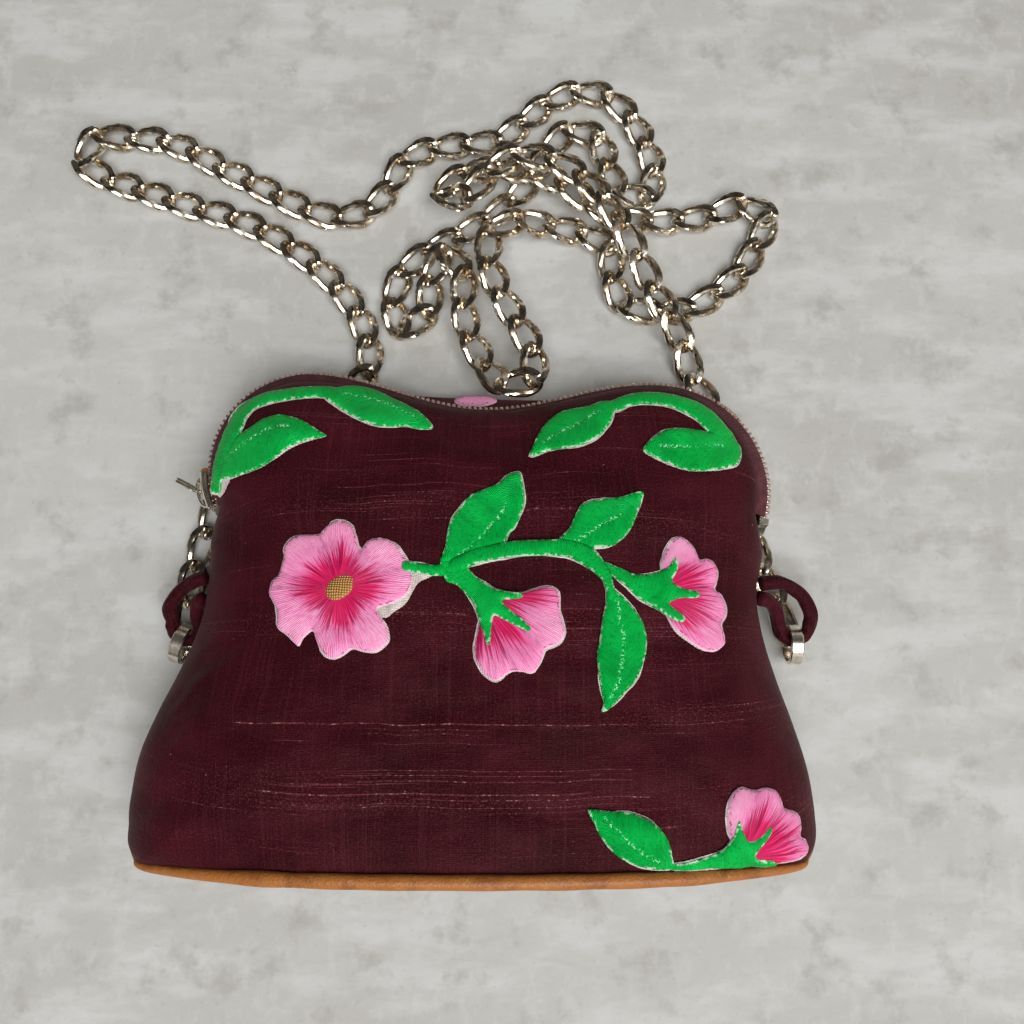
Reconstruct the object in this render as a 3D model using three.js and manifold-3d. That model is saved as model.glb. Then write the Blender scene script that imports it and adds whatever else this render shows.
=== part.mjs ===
// Domed crossbody pouch with a curb chain strap, lying on its back panel.
// Units are millimetres. X runs to the right, Y from the base to the zipped top
// and Z from the back panel up to the front panel. The origin is the centre of
// the flat area that the back panel rests on.
import * as THREE from 'three';
import { mergeVertices } from 'three/addons/utils/BufferGeometryUtils.js';
import Module from 'manifold-3d';

const wasm = await Module();
wasm.setup();

// Bag outline in plan
const LEFT_CORNER_X = -54.5;
const LEFT_CORNER_RADIUS = 31;
const LEFT_HUMP_Y = 77.3;
const LEFT_CORNER_END_DEG = 205;
const RIGHT_CORNER_X = 57.5;
const RIGHT_CORNER_RADIUS = 35;
const RIGHT_HUMP_Y = 73.5;
const RIGHT_CORNER_END_DEG = -15;
const TOP_DIP = 10.2;
const LEFT_WAIST_X = -83.5;
const LEFT_WAIST_Y = 8;
const LEFT_BASE_X = -102.5;
const LEFT_BASE_Y = -56;
const RIGHT_WAIST_X = 87;
const RIGHT_WAIST_Y = 5;
const RIGHT_BASE_X = 101;
const RIGHT_BASE_Y = -62;
const BASE_Y = -73.6;
const BASE_BOW = 1;
const BASE_CORNER_RADIUS = 10;

// Bag section
const WALL = 1.8;
const CROWN_Z = 46;
const CROWN_SLOPE = 0.07;
const SEAM_Z = 20;
const BASE_FRONT_Z = 50;
const BASE_BACK_Z = 4;
const BASE_BULGE = 5;
const BASE_SEAM_GAP = 0.5;
const REST_SHARE = 0.62;
const LINING_WALL = 0.9;
const LINING_GAP = 0.5;

// Zip
const ZIP_Z = 19;
const ZIP_HALF_WIDTH = 7;
const ZIP_INSET = 2.6;
const TAPE_BARE = 2;
const BACK_LIP = 9;
const TAPE_THICKNESS = 0.8;
const TEETH_WIDTH = 1.75;
const TEETH_TOP = 0.9;
const TEETH_BOTTOM = -1.9;
const TEETH_PARTING = 1.1;

// Zip slider, pull and end tab
const SLIDER_HALF_DEG = 10;
const SLIDER_PLATE = 1.1;
const SLIDER_WEB = 0.5;
const SLIDER_GRIP = 0.6;
const BRIDGE_HEIGHT = 2.9;
const BRIDGE_BAR = 1.1;
const PULL_LENGTH = 9.5;
const PULL_WIDTH = 5;
const PULL_THICKNESS = 1;
const PULL_REST_DEG = 153;
const TAB_LENGTH = 8;
const TAB_WIDTH = 4.5;
const TAB_THICKNESS = 1.6;

// Piping, loops, rings
const PIPING_RADIUS = 2.1;
const PIPING_SEAT = 0.5;
const PIPING_END_SHARE = 0.35;
const LOOP_TUBE_RADIUS = 2.1;
const LOOP_TURN_RADIUS = 4.7;
const RING_INNER_RADIUS = 5.2;
const RING_THICKNESS = 1.2;
const RING_STRIP_WIDTH = 4;
const RING_FLOOR_GAP = 0.4;

// Chain strap
const CHAIN_PITCH = 11.8;
const LINK_HALF_WIDTH = 4.4;
const WIRE_HALF = 1;
const LINK_TWIST_DEG = 45;
const LINK_BITE = 0.6;
const FREE_PLAY = 0.35;
const END_LINK_SHARE = 0.8;
const LINK_SHARE = 0.45;

// Embroidered pieces
const PATCH_LIFT = 0.5;
const PATCH_THICKNESS = 0.9;

const CLEARANCE = 0.3;

// Points chosen along the chain strap, from the left ring to the right ring.
// Each is x, y and the height of the link centres above the floor.
const STRAP_ROUTE = [
  [-95, 4, 3.3], [-94.2, 13, 3.2], [-91.8, 23, 3.2], [-88, 36, 3.2], [-82, 54, 3.2],
  [-70.4, 66.1, 3.2], [-57, 75, 3.2], [-44, 77, 3.2], [-38, 83, 3.2], [-38, 94, 3.2],
  [-42, 105, 3.2], [-49, 115, 3.2], [-57, 123, 3.2], [-66, 130, 3.2], [-77, 137, 3.2],
  [-88, 142, 3.2], [-99, 145, 3.2], [-111, 149, 3.2], [-122, 153, 3.2], [-134, 157, 3.2],
  [-144, 163, 4.9], [-141, 172, 6.4], [-130, 173, 4], [-118, 173, 3.2], [-107, 170, 3.2],
  [-98, 164, 3.2], [-88, 159, 3.2], [-77, 153, 3.2], [-66, 147, 3.2], [-54, 142, 3.2],
  [-43, 143, 3.2], [-34, 149, 3.2], [-31, 158, 3.2], [-26, 167, 3.2], [-15, 170, 3.2],
  [-4, 171, 3.2], [7, 172, 3.2], [16, 180, 3.2], [26, 189, 3.2], [38, 193, 3.2],
  [50, 188, 3.2], [57, 176, 3.2], [62, 164, 3.2], [62, 151, 3.2], [54, 147, 3.9],
  [47, 154, 4.4], [45, 165, 3.9], [41, 176, 3.2], [31, 177, 3.2], [24, 168, 3.2],
  [18, 157, 3.2], [10, 147, 3.2], [1, 140, 3.2], [-9, 134, 3.2], [-20, 128, 3.2],
  [-29, 119, 3.2], [-31, 108, 3.2], [-26, 98, 3.6], [-18, 101, 4.4], [-18, 112, 4.4],
  [-17, 122, 5.4], [-12, 128, 6.9], [-6, 123, 7.9], [-5, 113, 8.4],
  [-6, 103, 8.4], [-2, 92, 8.4], [3, 83, 9.9],
  [6, 77, 13.4], [12, 74, 15.9], [19, 77, 15.9], [19, 86, 14.4], [15, 95, 13.9], [9, 105, 13.7],
  [4, 116, 13.7], [2, 127, 13.2], [6, 136, 11.4], [15, 138, 9.9],
  [27, 137, 4.4], [39, 135, 3.2], [48, 129, 3.2],
  [46, 118, 3.2], [50, 108, 3.2], [62, 106, 3.2], [73, 107, 3.2], [83, 113, 3.2],
  [92, 121, 3.2], [98, 132, 3.2], [103, 145, 3.4], [95, 148, 4.4], [84, 143, 3.4], [73, 141, 3.4],
  [62, 140, 3.4], [52, 138, 9], [42, 142, 9], [30, 152, 9], [17, 157, 9],
  [3, 158, 9], [-10, 154, 9], [-15, 147, 9], [-8, 142, 11.9], [0, 150, 14.8],
  [12, 160, 14.8], [26, 158, 14.8], [37, 150, 14.8], [45, 140, 15.6], [52, 128, 13],
  [58, 116, 9.4], [64, 104, 9.2], [70, 94, 5.4], [72, 84, 3.2], [77, 74, 3.2],
  [85, 64, 3.2], [89.5, 50, 3.2], [90.5, 34, 3.2], [92, 18, 3.2], [97.5, 6, 3.3],
];
// How the strap's links are shared out over its seven stretches
const STRETCH_SHARES = [19, 19, 16, 16, 17, 15, 13];

const deg = THREE.MathUtils.degToRad;
const vec = (x, y, z) => new THREE.Vector3(x, y, z);

const steel = { color: 0xc8c2b4, roughness: 0.25, metalness: 1 };
const silk = { color: 0x45202a, roughness: 0.7, metalness: 0 };
const leather = { color: 0xb87440, roughness: 0.5, metalness: 0 };
const cotton = { color: 0x2a1418, roughness: 0.9, metalness: 0 };
const thread = { color: 0x12a04a, roughness: 0.6, metalness: 0 };

const bag = new THREE.Group();

function addMesh(name, geometry, finish) {
  const mesh = new THREE.Mesh(geometry, new THREE.MeshStandardMaterial(finish));
  mesh.name = name;
  bag.add(mesh);
  return mesh;
}

function geometryFrom(points, faces) {
  const geometry = new THREE.BufferGeometry();
  geometry.setAttribute('position', new THREE.Float32BufferAttribute(points.flat(), 3));
  geometry.setIndex(faces.flat());
  return geometry;
}

function toManifold(geometry) {
  const bare = geometry.clone();
  bare.deleteAttribute('normal');
  bare.deleteAttribute('uv');
  const merged = mergeVertices(bare, 1e-4);
  return new wasm.Manifold(new wasm.Mesh({
    numProp: 3,
    vertProperties: new Float32Array(merged.attributes.position.array),
    triVerts: new Uint32Array(merged.index.array),
  }));
}

function fromManifold(solid) {
  const mesh = solid.getMesh();
  const geometry = new THREE.BufferGeometry();
  geometry.setAttribute('position', new THREE.BufferAttribute(mesh.vertProperties, 3));
  geometry.setIndex(new THREE.BufferAttribute(mesh.triVerts, 1));
  return geometry;
}

function joinAll(geometries) {
  return fromManifold(geometries.map(toManifold).reduce((sum, next) => sum.add(next)));
}

// A closed solid swept through rows of points, every row a closed section
function sweepRows(rows, looped) {
  const count = rows.length;
  const sides = rows[0].length;
  const faces = [];
  const last = looped ? count : count - 1;
  for (let i = 0; i < last; i += 1) {
    const next = (i + 1) % count;
    for (let k = 0; k < sides; k += 1) {
      const a = i * sides + k;
      const b = i * sides + ((k + 1) % sides);
      const c = next * sides + ((k + 1) % sides);
      const d = next * sides + k;
      faces.push([a, b, c], [a, c, d]);
    }
  }
  if (!looped) {
    for (let k = 1; k < sides - 1; k += 1) {
      faces.push([0, k + 1, k]);
      const e = (count - 1) * sides;
      faces.push([e, e + k, e + k + 1]);
    }
  }
  return outward(geometryFrom(rows.flat(), faces));
}

// Turns the faces out where a closed mesh has them pointing in
function outward(geometry) {
  const p = geometry.attributes.position;
  const index = geometry.index.array;
  const a = vec(0, 0, 0);
  const b = vec(0, 0, 0);
  const c = vec(0, 0, 0);
  let volume = 0;
  for (let i = 0; i < index.length; i += 3) {
    a.fromBufferAttribute(p, index[i]);
    b.fromBufferAttribute(p, index[i + 1]);
    c.fromBufferAttribute(p, index[i + 2]);
    volume += a.dot(b.cross(c));
  }
  if (volume < 0) {
    for (let i = 0; i < index.length; i += 3) {
      const swap = index[i];
      index[i] = index[i + 1];
      index[i + 1] = swap;
    }
  }
  return geometry;
}

// Outline stations, clockwise seen from the front: zip first, then sides and base
const LEFT_CORNER_Y = LEFT_HUMP_Y - LEFT_CORNER_RADIUS;
const RIGHT_CORNER_Y = RIGHT_HUMP_Y - RIGHT_CORNER_RADIUS;

function baseFrontZ(x) {
  const half = x < 0 ? -LEFT_BASE_X : RIGHT_BASE_X;
  const share = Math.min(1, Math.abs(x) / half);
  return SEAM_Z + (BASE_FRONT_Z - SEAM_Z) * Math.pow(1 - Math.pow(share, 2.5), 0.6);
}

function baseBackZ(x) {
  const share = (baseFrontZ(x) - SEAM_Z) / (BASE_FRONT_Z - SEAM_Z);
  return SEAM_Z - (SEAM_Z - BASE_BACK_Z) * share;
}

function ease(t) {
  return (1 - Math.cos(Math.PI * t)) / 2;
}

const ZIP_FRONT_Z = ZIP_Z + ZIP_HALF_WIDTH;
const ZIP_BACK_Z = ZIP_Z - ZIP_HALF_WIDTH;
const HALF_GAP = CLEARANCE / 2;

function station(kind, x, y, front, back) {
  return { kind, x, y, front, back };
}

function outlineStations() {
  const list = [];
  const arcSteps = 9;
  for (let i = 0; i <= arcSteps; i += 1) {
    const a = deg(LEFT_CORNER_END_DEG + (90 - LEFT_CORNER_END_DEG) * (i / arcSteps));
    const x = LEFT_CORNER_X + LEFT_CORNER_RADIUS * Math.cos(a);
    const y = LEFT_CORNER_Y + LEFT_CORNER_RADIUS * Math.sin(a);
    const bend = station('zip', x, y, ZIP_FRONT_Z, ZIP_BACK_Z);
    bend.bare = ease(Math.min(1, i / 5));
    list.push(bend);
  }
  const waveSteps = 11;
  for (let i = 1; i < waveSteps; i += 1) {
    const t = i / waveSteps;
    const x = LEFT_CORNER_X + (RIGHT_CORNER_X - LEFT_CORNER_X) * t;
    const sag = TOP_DIP * ease(2 * Math.min(t, 1 - t));
    const y = LEFT_HUMP_Y + (RIGHT_HUMP_Y - LEFT_HUMP_Y) * t - sag;
    const wave = station('zip', x, y, ZIP_FRONT_Z, ZIP_BACK_Z);
    wave.dip = ease(2 * Math.min(t, 1 - t));
    wave.bare = 1 - ease(Math.min(1, 3 * t));
    list.push(wave);
  }
  const bendSteps = 7;
  for (let i = 0; i <= bendSteps; i += 1) {
    const a = deg(90 + (RIGHT_CORNER_END_DEG - 90) * (i / bendSteps));
    const x = RIGHT_CORNER_X + RIGHT_CORNER_RADIUS * Math.cos(a);
    const y = RIGHT_CORNER_Y + RIGHT_CORNER_RADIUS * Math.sin(a);
    const bend = station('zip', x, y, ZIP_FRONT_Z, ZIP_BACK_Z);
    bend.bare = ease(Math.min(1, i / 3));
    list.push(bend);
  }
  const seamFront = SEAM_Z + HALF_GAP;
  const seamBack = SEAM_Z - HALF_GAP;
  const sideSteps = 5;
  const flare = (waistX, waistY, footX, footY, t) => [
    waistX + (footX - waistX) * ease(t),
    waistY + (footY - waistY) * t,
  ];
  list.push(station('side', RIGHT_WAIST_X + 2.5, RIGHT_WAIST_Y + 12, seamFront, seamBack));
  for (let i = 0; i <= sideSteps; i += 1) {
    const t = i / sideSteps;
    const [x, y] = flare(RIGHT_WAIST_X, RIGHT_WAIST_Y, RIGHT_BASE_X, RIGHT_BASE_Y, t);
    list.push(station('side', x, y, seamFront, seamBack));
  }
  const cornerSteps = 3;
  const corner = (cx, from, to) => {
    for (let i = 1; i <= cornerSteps; i += 1) {
      const a = deg(from + (to - from) * (i / cornerSteps));
      const x = cx + BASE_CORNER_RADIUS * Math.cos(a);
      const y = BASE_Y + BASE_CORNER_RADIUS * (1 + Math.sin(a));
      list.push(baseStation(x, y));
    }
  };
  corner(RIGHT_BASE_X - BASE_CORNER_RADIUS, 0, -90);
  const baseSteps = 8;
  const baseRight = RIGHT_BASE_X - BASE_CORNER_RADIUS;
  const baseLeft = LEFT_BASE_X + BASE_CORNER_RADIUS;
  for (let i = 1; i <= baseSteps; i += 1) {
    const t = i / baseSteps;
    const x = baseRight + (baseLeft - baseRight) * t;
    list.push(baseStation(x, BASE_Y - BASE_BOW * Math.sin(Math.PI * t)));
  }
  corner(LEFT_BASE_X + BASE_CORNER_RADIUS, -90, -180);
  for (let i = sideSteps; i >= 0; i -= 1) {
    const t = i / sideSteps;
    const [x, y] = flare(LEFT_WAIST_X, LEFT_WAIST_Y, LEFT_BASE_X, LEFT_BASE_Y, t);
    list.push(station('side', x, y, seamFront, seamBack));
  }
  list.push(station('side', LEFT_WAIST_X, LEFT_WAIST_Y + 14, seamFront, seamBack));
  return withNormals(list);
}

function baseStation(x, y) {
  const front = Math.max(baseFrontZ(x), SEAM_Z + HALF_GAP);
  const back = Math.min(baseBackZ(x), SEAM_Z - HALF_GAP);
  return station('base', x, y, front, back);
}

// Outward normals in plan, and how far the two panels' edges stand back along the zip.
// On the humps the front's edge stands further back and bares the tape, and in the
// dip the back panel's edge stands out as a lip instead.
function withNormals(list) {
  const count = list.length;
  list.forEach((s, i) => {
    const before = list[(i + count - 1) % count];
    const after = list[(i + 1) % count];
    const dx = after.x - before.x;
    const dy = after.y - before.y;
    const length = Math.hypot(dx, dy);
    s.nx = -dy / length;
    s.ny = dx / length;
    if (s.kind === 'zip' && i <= 9) {
      s.nx = (s.x - LEFT_CORNER_X) / LEFT_CORNER_RADIUS;
      s.ny = (s.y - LEFT_CORNER_Y) / LEFT_CORNER_RADIUS;
    }
    s.inset = s.kind === 'zip' ? ZIP_INSET + TAPE_BARE * s.bare : 0;
    s.lip = s.kind === 'zip' ? ZIP_INSET - BACK_LIP * (s.dip ?? 0) : 0;
  });
  return list;
}

const STATIONS = outlineStations();
const CENTRE_Y = -5;

function crownZ(y) {
  return CROWN_Z - CROWN_SLOPE * y;
}

// A point in plan on the way from the centre (rho 0) to the edge (rho 1) of a skin
// whose edge stands a distance inside the outline
function planPoint(s, rho, inset) {
  const x = rho * (s.x - s.nx * inset);
  const y = CENTRE_Y + rho * (s.y - s.ny * inset - CENTRE_Y);
  return [x, y];
}

function frontPoint(s, rho, wall) {
  const [x, y] = planPoint(s, rho, s.inset + wall);
  return [x, y, s.front + (crownZ(y) - wall - s.front) * domeShare(rho)];
}

function backPoint(s, rho, wall) {
  const plan = planPoint(s, rho, s.lip + wall);
  return [...plan, wall + (s.back - wall) * riseShare(rho)];
}

function domeShare(rho) {
  return Math.pow(1 - Math.pow(rho, 4), 0.55);
}

function riseShare(rho) {
  return rho <= REST_SHARE ? 0 : Math.pow((rho - REST_SHARE) / (1 - REST_SHARE), 2.2);
}

// A dished shell between an outer and an inner skin that meet at a flat rim
function dishShell(stations, place, rhos, outerWall, innerWall) {
  const count = stations.length;
  const points = [];
  const faces = [];
  const skins = [outerWall, innerWall].map((wall) => {
    const start = points.length;
    points.push(place(stations[0], 0, wall));
    rhos.forEach((rho) => stations.forEach((s) => points.push(place(s, rho, wall))));
    return start;
  });
  skins.forEach((start, skin) => {
    const put = (a, b, c) => faces.push(skin === 0 ? [a, b, c] : [a, c, b]);
    for (let i = 0; i < count; i += 1) {
      const j = (i + 1) % count;
      put(start, start + 1 + j, start + 1 + i);
      for (let r = 1; r < rhos.length; r += 1) {
        const low = start + 1 + (r - 1) * count;
        const high = start + 1 + r * count;
        put(low + i, low + j, high + j);
        put(low + i, high + j, high + i);
      }
    }
  });
  const rim = (rhos.length - 1) * count + 1;
  for (let i = 0; i < count; i += 1) {
    const j = (i + 1) % count;
    const outer = skins[0] + rim;
    const inner = skins[1] + rim;
    faces.push([outer + i, outer + j, inner + j], [outer + i, inner + j, inner + i]);
  }
  return outward(geometryFrom(points, faces));
}

// The four dished skins: outer panels with their wadding, and the lining inside them
function buildShells() {
  const frontRhos = [0.7, 0.92, 1];
  const backRhos = [REST_SHARE, 0.86, 1];
  addMesh('front_panel', dishShell(STATIONS, frontPoint, frontRhos, 0, WALL), silk);
  addMesh('back_panel', dishShell(STATIONS, backPoint, backRhos, 0, WALL), silk);
  const lift = WALL + LINING_GAP;
  const liningFront = dishShell(STATIONS, frontPoint, [0.7, 1], lift, lift + LINING_WALL);
  const liningBack = dishShell(STATIONS, backPoint, [REST_SHARE, 1], lift, lift + LINING_WALL);
  addMesh('lining_front', liningFront, cotton);
  addMesh('lining_back', liningBack, cotton);
}

// A point at an outward distance from the outline and a height
function offsetPoint(s, out, z) {
  return [s.x + s.nx * out, s.y + s.ny * out, z];
}

// The base panel stands between the rims of the two panels and bulges outward
function buildBase() {
  const rows = STATIONS.filter((s) => s.kind === 'base' && s.front - s.back > 3);
  const section = (s, outer, inner) => {
    const top = s.front - BASE_SEAM_GAP;
    const bottom = s.back + BASE_SEAM_GAP;
    const height = top - bottom;
    const bulge = BASE_BULGE * (height / (BASE_FRONT_Z - BASE_BACK_Z));
    return [
      offsetPoint(s, outer, top),
      offsetPoint(s, outer + bulge, top - 0.35 * height),
      offsetPoint(s, outer + bulge, bottom + 0.35 * height),
      offsetPoint(s, outer, bottom),
      offsetPoint(s, inner, bottom),
      offsetPoint(s, inner + bulge, bottom + 0.35 * height),
      offsetPoint(s, inner + bulge, top - 0.35 * height),
      offsetPoint(s, inner, top),
    ];
  };
  addMesh('base_panel', sweepRows(rows.map((s) => section(s, 0, -WALL)), false), silk);
  const lift = WALL + LINING_GAP;
  const liningRows = rows.slice(1, -1).map((s) => section(s, -lift, -lift - LINING_WALL));
  addMesh('lining_base', sweepRows(liningRows, false), cotton);
}

// A round tube along points, as an extrusion of a polygon
function tube(points, radius, sides, steps) {
  const curve = new THREE.CatmullRomCurve3(points);
  const shape = new THREE.Shape();
  for (let k = 0; k < sides; k += 1) {
    const a = (2 * Math.PI * k) / sides;
    const x = radius * Math.cos(a);
    const y = radius * Math.sin(a);
    if (k === 0) shape.moveTo(x, y);
    else shape.lineTo(x, y);
  }
  shape.closePath();
  const options = { steps, bevelEnabled: false, extrudePath: curve };
  const extruded = new THREE.ExtrudeGeometry(shape, options);
  extruded.deleteAttribute('normal');
  extruded.deleteAttribute('uv');
  return outward(mergeVertices(extruded, 1e-4));
}

// Leather piping along the front and back seams of the base, thinner where it runs
// out round the corners
function buildPiping() {
  const rows = STATIONS.filter((s) => s.kind === 'base').slice(0, -1);
  const radius = rows.map((s, i) => {
    const fromEnd = Math.min(1, Math.min(i, rows.length - 1 - i) / 3);
    return PIPING_RADIUS * (PIPING_END_SHARE + (1 - PIPING_END_SHARE) * ease(fromEnd));
  });
  const sides = 6;
  const ring = (i, edge) => {
    const s = rows[i];
    const r = radius[i];
    return Array.from({ length: sides }, (_, k) => {
      const a = (2 * Math.PI * k) / sides;
      return offsetPoint(s, r + PIPING_SEAT + r * Math.cos(a), edge(s, r) + r * Math.sin(a));
    });
  };
  const apart = (s, r) => 0.7 * r * (1 - frontShare(s));
  const front = (s, r) => s.front + 0.35 * r + apart(s, r);
  const back = (s, r) => Math.max(s.back - apart(s, r), PIPING_RADIUS + 0.1);
  addMesh('base_piping_front', sweepRows(rows.map((s, i) => ring(i, front)), false), leather);
  addMesh('base_piping_back', sweepRows(rows.map((s, i) => ring(i, back)), false), leather);
}

function frontShare(s) {
  return (s.front - SEAM_Z) / (BASE_FRONT_Z - SEAM_Z);
}

// Zip tapes and tooth rows follow the outline; their sections are mirrored in ZIP_Z
function buildZip() {
  const rows = STATIONS.filter((s) => s.kind === 'zip');
  const rimZ = ZIP_HALF_WIDTH - CLEARANCE;
  const teethOuter = TEETH_PARTING / 2 + TEETH_WIDTH;
  const tapeEnd = teethOuter + CLEARANCE;
  const tapeOut = 0.5 * (TEETH_TOP + TEETH_BOTTOM);
  const half = TAPE_THICKNESS / 2;
  [['front', 1], ['back', -1]].forEach(([side, sign]) => {
    const rimOut = (s) => -(sign > 0 ? s.inset : s.lip) - 0.5;
    const at = (s, out, dz) => offsetPoint(s, out, ZIP_Z + sign * dz);
    const tapeRows = rows.map((s) => [
      at(s, rimOut(s), rimZ),
      at(s, rimOut(s) - TAPE_THICKNESS, rimZ),
      at(s, tapeOut - half, tapeEnd),
      at(s, tapeOut + half, tapeEnd),
    ]);
    addMesh(`zip_tape_${side}`, sweepRows(tapeRows, false), silk);
    const teethRows = rows.map((s) => [
      at(s, TEETH_TOP, TEETH_PARTING / 2),
      at(s, TEETH_TOP, teethOuter),
      at(s, TEETH_BOTTOM, teethOuter),
      at(s, TEETH_BOTTOM, TEETH_PARTING / 2),
    ]);
    addMesh(`zip_teeth_${side}`, sweepRows(teethRows, false), steel);
  });
}

// A block swept round the left corner's axis: a section in outward distance and
// height, between two angles
function cornerSweep(section, fromDeg, toDeg, steps) {
  const rows = [];
  for (let i = 0; i <= steps; i += 1) {
    const a = deg(fromDeg + (toDeg - fromDeg) * (i / steps));
    rows.push(section.map(([out, z]) => [
      LEFT_CORNER_X + (LEFT_CORNER_RADIUS + out) * Math.cos(a),
      LEFT_CORNER_Y + (LEFT_CORNER_RADIUS + out) * Math.sin(a),
      ZIP_Z + z,
    ]));
  }
  return sweepRows(rows, false);
}

function rect(outFrom, outTo, zFrom, zTo) {
  return [[outFrom, zFrom], [outTo, zFrom], [outTo, zTo], [outFrom, zTo]];
}

const SLIDER_DEG = LEFT_CORNER_END_DEG - SLIDER_HALF_DEG - 1;
const SLIDER_FLOOR = TEETH_TOP + SLIDER_GRIP;
const BRIDGE_OUT = SLIDER_FLOOR + SLIDER_PLATE + BRIDGE_HEIGHT;
const PIVOT_OUT = SLIDER_FLOOR + SLIDER_PLATE + 0.55 * (BRIDGE_HEIGHT - BRIDGE_BAR);

// Slider: two plates joined by a thin web between the tooth rows, with side
// flanges round the teeth and a bridge for the pull
function buildSlider() {
  const teethHalf = TEETH_PARTING / 2 + TEETH_WIDTH;
  const inFlange = teethHalf + SLIDER_GRIP;
  const outFlange = inFlange + SLIDER_PLATE;
  const top = SLIDER_FLOOR + SLIDER_PLATE;
  const from = SLIDER_DEG - SLIDER_HALF_DEG;
  const to = SLIDER_DEG + SLIDER_HALF_DEG;
  const under = TEETH_BOTTOM - SLIDER_GRIP;
  const foot = 2.5;
  const bits = [
    cornerSweep(rect(SLIDER_FLOOR, top, -outFlange, outFlange), from, to, 4),
    cornerSweep(rect(0.3, top, inFlange, outFlange), from, to, 4),
    cornerSweep(rect(0.3, top, -outFlange, -inFlange), from, to, 4),
    cornerSweep(rect(under - SLIDER_PLATE, under, -teethHalf, teethHalf), from, to, 4),
    cornerSweep(rect(under - 0.2, top, -SLIDER_WEB / 2, SLIDER_WEB / 2), from + 6, to - 6, 2),
    cornerSweep(rect(top - 0.2, BRIDGE_OUT, -1, 1), from + 1, from + 1 + foot, 1),
    cornerSweep(rect(top - 0.2, BRIDGE_OUT, -1, 1), to - 1 - foot, to - 1, 1),
    cornerSweep(rect(BRIDGE_OUT - BRIDGE_BAR, BRIDGE_OUT, -1, 1), from + 1, to - 1, 3),
  ];
  addMesh('zip_slider', joinAll(bits), steel);
}

// A point on the slider's middle line at an outward distance
function sliderPoint(out) {
  const a = deg(SLIDER_DEG);
  const x = LEFT_CORNER_X + (LEFT_CORNER_RADIUS + out) * Math.cos(a);
  const y = LEFT_CORNER_Y + (LEFT_CORNER_RADIUS + out) * Math.sin(a);
  return vec(x, y, ZIP_Z);
}

// Pull: a flat tongue with an eye whose cross bar passes under the bridge
function buildPull() {
  const eye = 2 * (BRIDGE_BAR + 1.3);
  const half = PULL_WIDTH / 2;
  const bar = 0.45;
  const shape = new THREE.Shape();
  shape.moveTo(-bar, -half);
  shape.lineTo(PULL_LENGTH - 1.5, -half);
  shape.lineTo(PULL_LENGTH, -half + 1.5);
  shape.lineTo(PULL_LENGTH, half - 1.5);
  shape.lineTo(PULL_LENGTH - 1.5, half);
  shape.lineTo(-bar, half);
  shape.closePath();
  const hole = new THREE.Path();
  hole.moveTo(bar, -half + 0.9);
  hole.lineTo(bar, half - 0.9);
  hole.lineTo(eye, half - 0.9);
  hole.lineTo(eye, -half + 0.9);
  hole.closePath();
  shape.holes.push(hole);
  const geometry = new THREE.ExtrudeGeometry(shape, { depth: PULL_THICKNESS, bevelEnabled: false });
  geometry.translate(0, 0, -PULL_THICKNESS / 2);
  geometry.rotateX(Math.PI / 2);
  const pull = addMesh('zip_pull', geometry, steel);
  pull.position.copy(sliderPoint(PIVOT_OUT));
  pull.rotation.z = deg(PULL_REST_DEG);
}

// Metal stops past both ends of the tooth rows
function buildStops() {
  const rows = STATIONS.filter((s) => s.kind === 'zip');
  const stop = (name, near, far, dzFrom, dzTo) => {
    const back = vec(near.x - far.x, near.y - far.y, 0).normalize();
    const from = vec(near.x, near.y, 0).addScaledVector(back, CLEARANCE);
    const to = vec(near.x, near.y, 0).addScaledVector(back, CLEARANCE + 2.2);
    const section = (p) => [
      [p.x + near.nx * TEETH_TOP, p.y + near.ny * TEETH_TOP, ZIP_Z + dzFrom],
      [p.x + near.nx * TEETH_TOP, p.y + near.ny * TEETH_TOP, ZIP_Z + dzTo],
      [p.x + near.nx * TEETH_BOTTOM, p.y + near.ny * TEETH_BOTTOM, ZIP_Z + dzTo],
      [p.x + near.nx * TEETH_BOTTOM, p.y + near.ny * TEETH_BOTTOM, ZIP_Z + dzFrom],
    ];
    addMesh(name, sweepRows([section(from), section(to)], false), steel);
  };
  const teethHalf = TEETH_PARTING / 2 + TEETH_WIDTH;
  const gap = TEETH_PARTING / 2;
  stop('zip_stop_left_front', rows[0], rows[1], gap, teethHalf);
  stop('zip_stop_left_back', rows[0], rows[1], -teethHalf, -gap);
  const last = rows.length - 1;
  stop('zip_stop_right', rows[last], rows[last - 1], -teethHalf, teethHalf);
}

// Leather tab sewn beside the zip, under the slider's path
function buildTab() {
  const a = deg(SLIDER_DEG - SLIDER_HALF_DEG - 3);
  const out = vec(Math.cos(a), Math.sin(a), 0);
  const start = LEFT_CORNER_RADIUS - ZIP_INSET + CLEARANCE;
  const geometry = new THREE.BoxGeometry(TAB_LENGTH, TAB_WIDTH, TAB_THICKNESS);
  const tab = addMesh('zip_end_tab', geometry, leather);
  tab.position.copy(vec(LEFT_CORNER_X, LEFT_CORNER_Y, ZIP_BACK_Z));
  tab.position.addScaledVector(out, start + TAB_LENGTH / 2);
  tab.rotation.z = a;
}

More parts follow.
